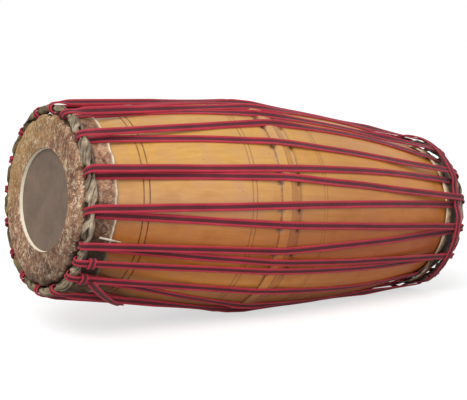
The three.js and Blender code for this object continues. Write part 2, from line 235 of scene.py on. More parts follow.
def spun(name: str, outline: Sequence[Point], steps: int) -> bpy.types.Object:
    """Turns a closed outline round the barrel's axis.

    Args:
        name: the piece's name.
        outline: (x, r) places in order; the last joins the first.
        steps: the number of steps in the full turn.

    Returns:
        The turned object, in the drum's space.
    """
    deselect()
    bpy.ops.mesh.primitive_plane_add(size=MM)
    piece = bpy.context.object
    piece.name = piece.data.name = name
    bpy.ops.object.mode_set(mode="EDIT")
    bpy.ops.mesh.select_all(action="SELECT")
    bpy.ops.mesh.merge(type="CENTER")
    places = [Vector((x, -r, 0)) * MM for x, r in outline]
    bpy.ops.transform.translate(value=places[0])
    for before, after in zip(places, places[1:] + places[:1]):
        bpy.ops.mesh.extrude_region_move(TRANSFORM_OT_translate={"value": after - before})
    bpy.ops.mesh.select_all(action="SELECT")
    bpy.ops.mesh.remove_doubles(threshold=1e-6)
    bpy.ops.mesh.spin(steps=steps, angle=2 * math.pi, center=(0, 0, 0), axis=(1, 0, 0))
    bpy.ops.mesh.select_all(action="SELECT")
    bpy.ops.mesh.remove_doubles(threshold=1e-6)
    bpy.ops.mesh.normals_make_consistent(inside=False)
    bpy.ops.object.mode_set(mode="OBJECT")
    return piece


@dataclass
class Route:
    """The way of a strap: its points, the way its outer face looks there, and its share of the full width."""

    points: list[np.ndarray] = field(default_factory=list)
    faces: list[np.ndarray] = field(default_factory=list)
    widths: list[float] = field(default_factory=list)

    def add(self, point: np.ndarray, face: np.ndarray, width: float = 1.0) -> None:
        """Adds a place to the end of the route.

        Args:
            point: the place.
            face: the way the strap's outer face looks there.
            width: its share of the strap's full width.
        """
        self.points.append(point)
        self.faces.append(face)
        self.widths.append(width)

    def resampled(self, spacing: float, passes: int) -> "Route":
        """Spaces the route's places evenly and eases its corners.

        Args:
            spacing: the distance between places.
            passes: how many times each place moves towards its neighbours.

        Returns:
            The new route.
        """
        table = np.column_stack([self.points, self.faces, self.widths])
        lengths = np.linalg.norm(np.diff(table[:, :3], axis=0), axis=1)
        at = np.concatenate([[0.0], np.cumsum(lengths)])
        count = max(int(at[-1] / spacing), 8)
        wanted = np.linspace(0, at[-1], count + 1)
        even = np.column_stack([np.interp(wanted, at, column) for column in table.T])
        for _ in range(passes):
            even[1:-1] = (even[:-2] + 2 * even[1:-1] + even[2:]) / 4
        return Route(list(even[:, :3]), list(even[:, 3:6]), list(even[:, 6]))


def swept(
    name: str, routes: Sequence[Route], section: Sequence[Point], closed: bool = False
) -> bpy.types.Object:
    """Sweeps a closed section along routes, with a UV map: u across or round it, v its length in metres.

    Args:
        name: the piece's name.
        routes: one route for each strand of the piece.
        section: (across, out) places, counter-clockwise seen from ahead.
        closed: whether each route joins its own start.

    Returns:
        The swept object, in the drum's space.
    """
    corners: list[np.ndarray] = []
    faces: list[list[int]] = []
    uvs: list[list[Point]] = []
    sides = len(section)
    reach = max(abs(across) for across, _ in section)
    us = [0.5 + across / (2 * reach) for across, _ in section]
    for route in routes:
        points = np.array(route.points)
        count = len(points)
        before = np.roll(points, 1, 0) if closed else np.vstack([points[:1], points[:-1]])
        after = np.roll(points, -1, 0) if closed else np.vstack([points[1:], points[-1:]])
        ahead = after - before
        ahead /= np.linalg.norm(ahead, axis=1)[:, None]
        across = np.cross(ahead, np.array(route.faces))
        across /= np.linalg.norm(across, axis=1)[:, None]
        out = np.cross(across, ahead)
        base = len(corners)
        steps = np.linalg.norm(points - before, axis=1)
        along = np.cumsum(steps) * MM
        widths = np.array(route.widths)
        for i in range(count):
            for side, height in section:
                corners.append((points[i] + across[i] * side * widths[i] + out[i] * height) * MM)
        for i in range(count if closed else count - 1):
            j = (i + 1) % count
            ahead_v = along[i] + float(np.linalg.norm(points[j] - points[i])) * MM
            low, high = base + i * sides, base + j * sides
            for k in range(sides):
                n = (k + 1) % sides
                faces.append([low + k, low + n, high + n, high + k])
                uvs.append([(us[k], along[i]), (us[n], along[i]), (us[n], ahead_v), (us[k], ahead_v)])
        if not closed:
            for i in (0, count - 1):
                ring = list(range(base + i * sides, base + (i + 1) * sides))
                faces.append(ring[::-1] if i == 0 else ring)
                uvs.append([(u, along[i]) for u in (us[::-1] if i == 0 else us)])
    mesh = bpy.data.meshes.new(name)
    mesh.from_pydata([tuple(c) for c in corners], [], faces)
    layer = mesh.uv_layers.new(name="strap")
    layer.data.foreach_set("uv", np.array([uv for face in uvs for uv in face], np.float32).ravel())
    piece = bpy.data.objects.new(name, mesh)
    bpy.context.collection.objects.link(piece)
    face_outwards(piece)
    return piece


def tag(piece: bpy.types.Object, name: str, value: Callable[[float, float, float], float]) -> None:
    """Gives each point of a piece a number worked out from its place.

    Args:
        piece: an object in the drum's space, in metres.
        name: the attribute's name.
        value: gives the number from x, r and the angle, in millimetres and degrees.
    """
    values = []
    for vertex in piece.data.vertices:
        x, y, z = (c / MM for c in vertex.co)
        values.append(value(x, math.hypot(y, z), math.degrees(math.atan2(-z, -y))))
    piece.data.attributes.new(name, "FLOAT", "POINT").data.foreach_set("value", values)


def reshape(piece: bpy.types.Object, move: Callable[[float, float, float], tuple[float, float]]) -> None:
    """Moves each point of a piece along the barrel and away from its axis.

    Args:
        piece: an object in the drum's space, in metres.
        move: gives the shift of x and of r from x, r and the angle, in millimetres and degrees.
    """
    for vertex in piece.data.vertices:
        x, y, z = (c / MM for c in vertex.co)
        r = math.hypot(y, z)
        along, out = move(x, r, math.degrees(math.atan2(-z, -y)))
        share = 1 + out / r if r > 1 else 1.0
        vertex.co = Vector((x + along, y * share, z * share)) * MM


def ripple(x: float, y: float, z: float, size: float) -> float:
    """Gives a smooth random number of about -1 to 1 that changes over a size in millimetres."""
    return noise.noise(Vector((x, y, z)) / size)


def dress(piece: bpy.types.Object, material: bpy.types.Material, smooth: float) -> None:
    """Gives a piece its finish and its smooth shading.

    Args:
        piece: the object.
        material: its finish.
        smooth: the angle in degrees above which an edge stays sharp.
    """
    piece.data.materials.clear()
    piece.data.materials.append(material)
    pick(piece)
    bpy.ops.object.shade_smooth_by_angle(angle=math.radians(smooth))


def hand_over(piece: bpy.types.Object, body: str, slot: str, *nodes: str) -> None:
    """Makes a piece ride on a body in place of its nodes, and reports it.

    Args:
        piece: the finished object.
        body: the body it moves with.
        slot: the record's material slot; not used.
        *nodes: the nodes that it stands for.
    """
    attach(piece, body)
    if nodes:
        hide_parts(*nodes)
    LOG.info("%s: %d faces on %s", piece.name, len(piece.data.polygons), body)


@dataclass(frozen=True)
class Jackwood:
    """Jackwood, turned and oiled: golden heartwood with faint streaks along the barrel and a satin sheen."""

    dark: str = "CF964E"
    middle: str = "D9A256"
    light: str = "E0AD64"
    # Random rosy patches, which also stand for a pale painted sheen.
    rosy_sheen: str = "D09A70"
    blotch: str = "B87434"
    # The dark brown of marks and scribed lines, also used for the painted shadows on the wood.
    line: str = "4A1E06"
    # The pale colour of the painted highlight on the band's far edge.
    worn: str = "E2BC80"
    # Painted light and shade on the wood, round the barrel from its underside to its top: darker underneath,
    # a band of painted bounce light low down, darker again low on the side, paler towards the top. Along it,
    # from end to end: a change of tone, with painted shade on the band's far half and towards the valanthalai
    # end.
    light_and_shade_around: tuple[tuple[float, str], ...] = (
        (0.06, "CCAC7E"),
        (0.17, "FFE5BD"),
        (0.31, "D2A474"),
        (0.42, "D6B692"),
        (0.54, "E2D9D2"),
        (0.73, "F3F8E8"),
    )
    tone_and_shade_along: tuple[tuple[float, str], ...] = (
        (0.0, "FAF5F0"),
        (0.446, "FAF5F0"),
        (0.45, "E2CCB6"),
        (0.469, "E2CCB6"),
        (0.473, "F8EEE2"),
        (0.62, "E6CDB0"),
        (0.85, "F6D196"),
        (1.0, "F2C88A"),
    )
    length: float = 578.0
    height: float = 130.0
    # Real grain lines are about a millimetre apart and pores a third of one: both are drawn coarser, to show.
    streak_length: float = 130.0
    streak_width: float = 4.5
    mark_size: float = 2.6
    blotch_size: float = 46.0
    break_size: float = 7.0
    bump_depth: float = 0.1

    def material(self) -> bpy.types.Material:
        """Builds the wood's nodes.

        Returns:
            The wood's material.
        """
        material, add = new_material("jackwood_turned_and_oiled")
        place = add("Attribute", attribute_name="drum_place").outputs["Vector"]
        parts = add("SeparateXYZ", {"Vector": place})
        across = 1 / (self.streak_width * MM)
        stretch = (1 / (self.streak_length * MM), across, across)
        streaked = add("VectorMath", {0: place, 1: stretch}, operation="MULTIPLY")
        grain = add("TexNoise", {"Vector": streaked, "Scale": 1.0, "Detail": 4.0, "Roughness": 0.55})
        patches = add(
            "TexNoise",
            {"Vector": place, "Scale": 1 / (self.blotch_size * MM), "Detail": 3.0, "Roughness": 0.55},
        )
        tones = add("ValToRGB", {"Fac": grain}, [(0.25, self.dark), (0.5, self.middle), (0.78, self.light)])
        # Random rosy patches that also paint a pale sheen on the wood.
        rosy_sheen = add(
            "MapRange", {"Value": patches, "From Min": 0.36, "From Max": 0.52, "To Min": 0.6, "To Max": 0.0}
        )
        sheened = add("Mix", {"Factor": rosy_sheen, "A": tones, "B": linear(self.rosy_sheen)}, data_type="RGBA")
        stained = add("MapRange", {"Value": patches, "From Min": 0.56, "From Max": 0.74, "To Max": 0.5})
        blotched = add("Mix", {"Factor": stained, "A": sheened, "B": linear(self.blotch)}, data_type="RGBA")
        tall = self.height * MM
        around = add("MapRange", {"Value": parts.outputs["Z"], "From Min": -tall, "From Max": tall})
        along = add("MapRange", {"Value": parts.outputs["X"], "From Max": self.length * MM})
        tinted = blotched
        # Multiplies in the painted light and shade round the barrel, and the tone and painted shade along it.
        for share, stops in ((around, self.light_and_shade_around), (along, self.tone_and_shade_along)):
            tints = add("ValToRGB", {"Fac": share}, stops)
            tinted = add(
                "Mix", {"Factor": 1.0, "A": tinted, "B": tints}, data_type="RGBA", blend_type="MULTIPLY"
            )
        specks = add(
            "TexNoise",
            {"Vector": place, "Scale": 1 / (self.mark_size * MM), "Detail": 2.0, "Roughness": 0.5},
        )
        marked = add("MapRange", {"Value": specks, "From Min": 0.71, "From Max": 0.78, "To Max": 0.7})
        dotted = add("Mix", {"Factor": marked, "A": tinted, "B": linear(self.line)}, data_type="RGBA")
        # A painted shadow on the wood below the larger head's skirt.
        skirt_shadow = add("Attribute", attribute_name="skirt_shadow").outputs["Fac"]
        shadowed = add("Mix", {"Factor": skirt_shadow, "A": dotted, "B": linear(self.line)}, data_type="RGBA")
        # Dark scribed lines, with a painted shadow at the band's near foot and painted shade in the notches
        # that the lace wore.
        groove_dirt_and_shade = add("Attribute", attribute_name="groove_dirt_and_shade").outputs["Fac"]
        broken = add(
            "TexNoise",
            {"Vector": place, "Scale": 1 / (self.break_size * MM), "Detail": 2.0, "Roughness": 0.6},
        )
        kept = add("MapRange", {"Value": broken, "From Min": 0.32, "From Max": 0.52, "To Min": 0.6})
        inked = add("Math", {0: groove_dirt_and_shade, 1: kept}, operation="MULTIPLY", use_clamp=True)
        scribed = add("Mix", {"Factor": inked, "A": shadowed, "B": linear(self.line)}, data_type="RGBA")
        # A painted highlight on the upper half of the band's far edge.
        painted_edge_highlight = add("Attribute", attribute_name="painted_edge_highlight").outputs["Fac"]
        worn = add("Mix", {"Factor": painted_edge_highlight, "A": scribed, "B": linear(self.worn)}, data_type="RGBA")
        sheen = add(
            "MapRange", {"Value": patches, "From Min": 0.3, "From Max": 0.7, "To Min": 0.38, "To Max": 0.5}
        )
        bump = add("Bump", {"Height": grain, "Distance": self.bump_depth * MM, "Strength": 0.3})
        shader = add(
            "BsdfPrincipled",
            {
                "Base Color": worn,
                "Roughness": sheen,
                "IOR": 1.5,
                "Coat Weight": 0.3,
                "Coat Roughness": 0.36,
                "Normal": bump,
            },
        )
        add("OutputMaterial", {"Surface": shader})
        return material


@dataclass(frozen=True)
class ScrapedHide:
    """Scraped rawhide: mottled and streaked, flecked where its hair side was taken off, cream at its cuts."""

    name: str
    deep: str
    middle: str
    pale: str
    # The colour of the painted warm light on the hide's upper far side.
    sunlit_gold: str
    fleck: str
    cut: str
    fleck_share: float
    # The dark colour of the dirt and painted shade on the skirt.
    dirt_and_shade: str = "2A2119"
    # Painted shade on the hide, from its low side to its top: darkest low down, full brightness in the
    # middle, a little darker at the top.
    painted_shades: tuple[tuple[float, str], ...] = (
        (0.0, "A6A6A6"),
        (0.14, "D0D0D0"),
        (0.34, "FFFFFF"),
        (0.7, "E6E6E6"),
        (0.92, "D6D6D6"),
    )
    # Hair pores and the scraper's scratches are finer on a real hide: they are drawn as coarse as they show.
    patch_size: float = 13.0
    mottle_size: float = 3.0
    fleck_size: float = 4.6
    scuff_size: float = 26.0
    scratch_length: float = 30.0
    scratch_width: float = 3.0
    scratch_slant: float = 20.0
    stroke_length: float = 7.5
    stroke_width: float = 2.4
    # The radius at which a stroke has its full width: the strokes run out from the opening like spokes.
    stroke_radius: float = 80.0
    bump_depth: float = 0.6

    def material(self) -> bpy.types.Material:
        """Builds the hide's nodes.

        Returns:
            The hide's material.
        """
        material, add = new_material(self.name)
        place = add("Attribute", attribute_name="drum_place").outputs["Vector"]
        parts = add("SeparateXYZ", {"Vector": place})
        patches = add(
            "TexNoise",
            {
                "Vector": place,
                "Scale": 1 / (self.patch_size * MM),
                "Detail": 5.0,
                "Roughness": 0.62,
                "Distortion": 0.8,
            },
        )
        mottles = add(
            "TexNoise",
            {"Vector": place, "Scale": 1 / (self.mottle_size * MM), "Detail": 4.0, "Roughness": 0.65},
        )
        flecks = add(
            "TexNoise",
            {
                "Vector": place,
                "Scale": 1 / (self.fleck_size * MM),
                "Detail": 4.0,
                "Roughness": 0.7,
                "Distortion": 0.3,
            },
        )
        turned = add("Math", {0: parts.outputs["Z"], 1: parts.outputs["Y"]}, operation="ARCTAN2")
        across = add("CombineXYZ", {"Y": parts.outputs["Y"], "Z": parts.outputs["Z"]})
        radius = add("VectorMath", {0: across}, operation="LENGTH")
        way = add("Math", {0: radius, 1: parts.outputs["X"]}, operation="ADD")
        unrolled = add("CombineXYZ", {"X": turned, "Y": way})
        stroke_size = (self.stroke_width / self.stroke_radius, self.stroke_length * MM, 1.0)
        laid = add("Mapping", {"Vector": unrolled, "Scale": stroke_size}, vector_type="TEXTURE")
        strokes = add(
            "TexNoise", {"Vector": laid, "Scale": 1.0, "Detail": 3.0, "Roughness": 0.6, "Distortion": 1.8}
        )
        scratch_size = (self.scratch_width * 2 * MM, self.scratch_width * MM, self.scratch_length * MM)
        slanted = add(
            "Mapping",
            {
                "Vector": place,
                "Rotation": (math.radians(self.scratch_slant), 0.0, 0.0),
                "Scale": scratch_size,
            },
            vector_type="TEXTURE",
        )
        scratches = add(
            "TexNoise",
            {"Vector": slanted, "Scale": 1.0, "Detail": 4.0, "Roughness": 0.6, "Distortion": 0.5},
        )
        speckles = add("Mix", {"Factor": 0.36, "A": patches, "B": mottles}, data_type="FLOAT")
        stripes = add("Mix", {"Factor": 0.16, "A": speckles, "B": scratches}, data_type="FLOAT")
        tones = add("ValToRGB", {"Fac": stripes}, [(0.4, self.deep), (0.5, self.middle), (0.6, self.pale)])
        # A painted warm light: gold streaks on the hide's upper far side, where the light falls.
        aside = add("Math", {0: parts.outputs["Y"], 1: parts.outputs["Z"]}, operation="ADD")
        sunny = add("MapRange", {"Value": aside, "From Min": 0.03, "From Max": 0.12, "To Max": 1.2})
        golden = add("Math", {0: sunny, 1: stripes}, operation="MULTIPLY", use_clamp=True)
        sunlit = add("Mix", {"Factor": golden, "A": tones, "B": linear(self.sunlit_gold)}, data_type="RGBA")
        low = 0.66 - 0.2 * self.fleck_share
        hatched = add("Mix", {"Factor": 0.4, "A": flecks, "B": strokes}, data_type="FLOAT")
        flecked = add(
            "MapRange", {"Value": hatched, "From Min": low - 0.02, "From Max": low + 0.04, "To Max": 0.9}
        )
        scratched = add(
            "MapRange", {"Value": scratches, "From Min": low + 0.07, "From Max": low + 0.14, "To Max": 0.7}
        )
        scuffs = add("TexNoise", {"Vector": place, "Scale": 1 / (self.scuff_size * MM), "Detail": 2.0})
        scuffed = add("MapRange", {"Value": scuffs, "From Min": 0.4, "From Max": 0.54, "To Min": 0.35})
        marks = add("Math", {0: flecked, 1: scratched}, operation="MAXIMUM", use_clamp=True)
        rubbed = add("Attribute", attribute_name="scuff").outputs["Fac"]
        bared = add("Math", {0: scuffed, 1: rubbed}, operation="MULTIPLY")
        worn = add("Math", {0: marks, 1: bared}, operation="MULTIPLY")
        dotted = add("Mix", {"Factor": worn, "A": sunlit, "B": linear(self.fleck)}, data_type="RGBA")
        # Multiplies in the painted shade from the hide's low side to its top.
        low_side = add(
            "Math", {0: parts.outputs["Y"], 1: 0.5, 2: parts.outputs["Z"]}, operation="MULTIPLY_ADD"
        )
        lit = add("MapRange", {"Value": low_side, "From Min": -0.1, "From Max": 0.1})
        shade = add("ValToRGB", {"Fac": lit}, self.painted_shades)
        dimmed = add(
            "Mix", {"Factor": 1.0, "A": dotted, "B": shade}, data_type="RGBA", blend_type="MULTIPLY"
        )
        edge = add("Attribute", attribute_name="cut").outputs["Fac"]
        stain = add("MapRange", {"Value": flecks, "From Min": 0.36, "From Max": 0.56, "To Min": 0.45})
        trimmed = add("Math", {0: edge, 1: stain}, operation="MULTIPLY", use_clamp=True)
        coloured = add("Mix", {"Factor": trimmed, "A": dimmed, "B": linear(self.cut)}, data_type="RGBA")
        # Dirt and painted shade on the skirt below the hoop, with painted shade between the straps and on its
        # low side.
        dirt = add("Attribute", attribute_name="dirt_and_shade").outputs["Fac"]
        darkened = add("Mix", {"Factor": dirt, "A": coloured, "B": linear(self.dirt_and_shade)}, data_type="RGBA")
        heights = add("Mix", {"Factor": 0.4, "A": patches, "B": worn}, data_type="FLOAT")
        bump = add("Bump", {"Height": heights, "Distance": self.bump_depth * MM, "Strength": 0.6})
        shader = add(
            "BsdfPrincipled",
            {"Base Color": darkened, "Roughness": 0.66, "IOR": 1.5, "Specular IOR Level": 0.3, "Normal": bump},
        )
        add("OutputMaterial", {"Surface": shader})
        return material


@dataclass(frozen=True)
class GoatSkin:
    """Goat skin, stretched and rubbed by playing: smooth, matt and cloudy, with faint streaks of fibre."""

    dark: str = "675546"
    light: str = "816B59"
    speck: str = "D8D0C4"
    cloud_size: float = 30.0
    # The skin's fibres and dust are finer than a millimetre: they are drawn coarser, to show.
    fibre_size: float = 5.0
    dust_size: float = 2.0
    bump_depth: float = 0.15

    def material(self) -> bpy.types.Material:
        """Builds the skin's nodes.

        Returns:
            The skin's material.
        """
        material, add = new_material("goat_skin_stretched")
        place = add("Attribute", attribute_name="drum_place").outputs["Vector"]
        clouds = add(
            "TexNoise",
            {"Vector": place, "Scale": 1 / (self.cloud_size * MM), "Detail": 4.0, "Roughness": 0.6},
        )
        fibres = add("TexNoise", {"Vector": place, "Scale": 1 / (self.fibre_size * MM), "Detail": 3.0})
        both = add("Mix", {"Factor": 0.25, "A": clouds, "B": fibres}, data_type="FLOAT")
        tones = add("ValToRGB", {"Fac": both}, [(0.32, self.dark), (0.68, self.light)])
        dust = add("TexNoise", {"Vector": place, "Scale": 1 / (self.dust_size * MM), "Detail": 1.0})
        dusty = add("MapRange", {"Value": dust, "From Min": 0.78, "From Max": 0.82, "To Max": 0.6})
        coloured = add("Mix", {"Factor": dusty, "A": tones, "B": linear(self.speck)}, data_type="RGBA")
        bump = add("Bump", {"Height": both, "Distance": self.bump_depth * MM, "Strength": 0.4})
        shader = add(
            "BsdfPrincipled", {"Base Color": coloured, "Roughness": 0.6, "IOR": 1.5, "Normal": bump}
        )
        add("OutputMaterial", {"Surface": shader})
        return material


@dataclass(frozen=True)
class TwistedHide:
    """Rawhide strips twisted while wet: tan and cream fibres along each strip, darker where two strips meet.
    """

    name: str
    dark: str
    middle: str
    pale: str
    crevice: str
    far_shade: str = "B4B088"
    # Real fibres are as thin as hair: five lines across a strip are as fine as the picture shows.
    fibres_across: float = 5.0
    fibre_length: float = 26.0
    patch_size: float = 12.0
    bump_depth: float = 0.6

    def material(self) -> bpy.types.Material:
        """Builds the strips' nodes.

        Returns:
            The strips' material.
        """
        material, add = new_material(self.name)
        place = add("Attribute", attribute_name="drum_place").outputs["Vector"]
        strip = add("UVMap", uv_map="strap").outputs["UV"]
        across = add("SeparateXYZ", {"Vector": strip}).outputs["X"]
        lines = (self.fibres_across, 1 / (self.fibre_length * MM), 1.0)
        stretched = add("VectorMath", {0: strip, 1: lines}, operation="MULTIPLY")
        fibres = add("TexNoise", {"Vector": stretched, "Scale": 1.0, "Detail": 4.0, "Roughness": 0.6})
        patches = add("TexNoise", {"Vector": place, "Scale": 1 / (self.patch_size * MM), "Detail": 3.0})
        both = add("Mix", {"Factor": 0.5, "A": fibres, "B": patches}, data_type="FLOAT")
        tones = add("ValToRGB", {"Fac": both}, [(0.38, self.dark), (0.49, self.middle), (0.6, self.pale)])
        # Painted shade, with an olive tint, that grows towards the hoop's far side.
        depth = add("SeparateXYZ", {"Vector": place}).outputs["Y"]
        far_side = add("MapRange", {"Value": depth, "From Min": -0.1, "From Max": 0.06})
        far_shaded = add(
            "Mix",
            {"Factor": far_side, "A": tones, "B": linear(self.far_shade)},
            data_type="RGBA",
            blend_type="MULTIPLY",
        )
        # Darker towards each strip's edges, where two strips meet.
        off = add("Math", {0: across, 1: 0.5}, operation="SUBTRACT")
        side = add("Math", {0: off}, operation="ABSOLUTE")
        hidden = add("MapRange", {"Value": side, "From Min": 0.36, "From Max": 0.5, "To Max": 0.85})
        darkened = add("Mix", {"Factor": hidden, "A": far_shaded, "B": linear(self.crevice)}, data_type="RGBA")
        bump = add("Bump", {"Height": fibres, "Distance": self.bump_depth * MM, "Strength": 0.7})
        shader = add("BsdfPrincipled", {"Base Color": darkened, "Roughness": 0.72, "IOR": 1.5, "Normal": bump})
        add("OutputMaterial", {"Surface": shader})
        return material


@dataclass(frozen=True)
class WovenLace:
    """Cotton tape woven with two rolled crimson edges and a dark ribbed middle."""

    edge: str = "C93A4A"
    edge_shade: str = "A32338"
    middle: str = "74313B"
    rib: str = "32141A"
    # The tape's ribs and plies are about a millimetre apart and are drawn twice as coarse, to show.
    rib_pitch: float = 2.0
    ply_pitch: float = 2.4
    ply_lean: float = 40.0
    edge_share: float = 0.29
    far_shade: float = 0.74
    fade_size: float = 30.0
    fuzz_size: float = 0.8
    bump_depth: float = 0.35

    def material(self) -> bpy.types.Material:
        """Builds the tape's nodes.

        Returns:
            The tape's material.
        """
        material, add = new_material("cotton_tape_woven_and_dyed")
        strap = add("UVMap", uv_map="strap").outputs["UV"]
        parts = add("SeparateXYZ", {"Vector": strap})
        place = add("Attribute", attribute_name="drum_place").outputs["Vector"]
        fade = add("TexNoise", {"Vector": place, "Scale": 1 / (self.fade_size * MM), "Detail": 3.0})
        fuzz = add("TexNoise", {"Vector": place, "Scale": 1 / (self.fuzz_size * MM), "Detail": 2.0})
        off = add("Math", {0: parts.outputs["X"], 1: 0.5}, operation="SUBTRACT")
        side = add("Math", {0: off}, operation="ABSOLUTE")
        rim = add(
            "MapRange",
            {
                "Value": side,
                "From Min": 0.5 - self.edge_share - 0.03,
                "From Max": 0.5 - self.edge_share + 0.03,
            },
        )
        turn = add(
            "Math", {0: parts.outputs["Y"], 1: 2 * math.pi / (self.rib_pitch * MM)}, operation="MULTIPLY"
        )
        ribs = add("Math", {0: turn}, operation="SINE")
        rib_height = add("MapRange", {"Value": ribs, "From Min": -0.6, "From Max": 0.8})
        lean = add("Math", {0: side, 1: self.ply_lean}, operation="MULTIPLY")
        ply_turn = add(
            "Math",
            {0: parts.outputs["Y"], 1: 2 * math.pi / (self.ply_pitch * MM), 2: lean},
            operation="MULTIPLY_ADD",
        )
        plies = add("Math", {0: ply_turn}, operation="SINE")
        ply_height = add("MapRange", {"Value": plies, "From Min": -1.0, "From Max": 0.4})
        dark = add(
            "Mix", {"Factor": rib_height, "A": linear(self.rib), "B": linear(self.middle)}, data_type="RGBA"
        )
        red = add(
            "Mix",
            {"Factor": ply_height, "A": linear(self.edge_shade), "B": linear(self.edge)},
            data_type="RGBA",
        )
        tape = add("Mix", {"Factor": rim, "A": dark, "B": red}, data_type="RGBA")
        faded = add(
            "MapRange", {"Value": fade, "From Min": 0.3, "From Max": 0.7, "To Min": 0.82, "To Max": 1.12}
        )
        # Painted shade that grows along the barrel towards the valanthalai end.
        along = add("SeparateXYZ", {"Vector": place}).outputs["X"]
        far_end_shade = add(
            "MapRange",
            {"Value": along, "From Min": 0.25, "From Max": 0.58, "To Min": 1.0, "To Max": self.far_shade},
        )
        shade = add("Math", {0: faded, 1: far_end_shade}, operation="MULTIPLY")
        shaded = add("Mix", {"Factor": 1.0, "A": tape, "B": shade}, data_type="RGBA", blend_type="MULTIPLY")
        weave = add("Mix", {"Factor": rim, "A": rib_height, "B": ply_height}, data_type="FLOAT")
        rough = add("Math", {0: fuzz, 1: 0.35, 2: weave}, operation="MULTIPLY_ADD")
        bump = add("Bump", {"Height": rough, "Distance": self.bump_depth * MM, "Strength": 0.8})
        shader = add(
            "BsdfPrincipled",
            {
                "Base Color": shaded,
                "Roughness": 0.78,
                "IOR": 1.45,
                "Specular IOR Level": 0.3,
                "Sheen Weight": 0.15,
                "Sheen Roughness": 0.4,
                "Normal": bump,
            },
        )
        add("OutputMaterial", {"Surface": shader})
        return material


@dataclass(frozen=True)
class RubbedPaste:
    """Iron and rice paste, built up in thin rubbed layers: black, finely cracked and slightly polished."""

    dark: str = "121115"
    grey: str = "302D30"
    crack: str = "060506"
    # The paste is cracked every millimetre or two and its grit is finer: both are drawn coarser, to show.
    crack_size: float = 3.2
    grit_size: float = 1.2
    bump_depth: float = 0.2

    def material(self) -> bpy.types.Material:
        """Builds the paste's nodes.

        Returns:
            The paste's material.
        """
        material, add = new_material("iron_paste_rubbed")
        place = add("Attribute", attribute_name="drum_place").outputs["Vector"]
        grit = add("TexNoise", {"Vector": place, "Scale": 1 / (self.grit_size * MM), "Detail": 3.0})
        cells = add(
            "TexVoronoi", {"Vector": place, "Scale": 1 / (self.crack_size * MM)}, feature="DISTANCE_TO_EDGE"
        )
        tones = add("ValToRGB", {"Fac": grit}, [(0.35, self.dark), (0.7, self.grey)])
        whole = add("MapRange", {"Value": cells, "From Max": 0.08})
        cracked = add("Mix", {"Factor": whole, "A": linear(self.crack), "B": tones}, data_type="RGBA")
        bump = add("Bump", {"Height": whole, "Distance": self.bump_depth * MM, "Strength": 0.6})
        shader = add(
            "BsdfPrincipled", {"Base Color": cracked, "Roughness": 0.5, "IOR": 1.5, "Normal": bump}
        )
        add("OutputMaterial", {"Surface": shader})
        return material


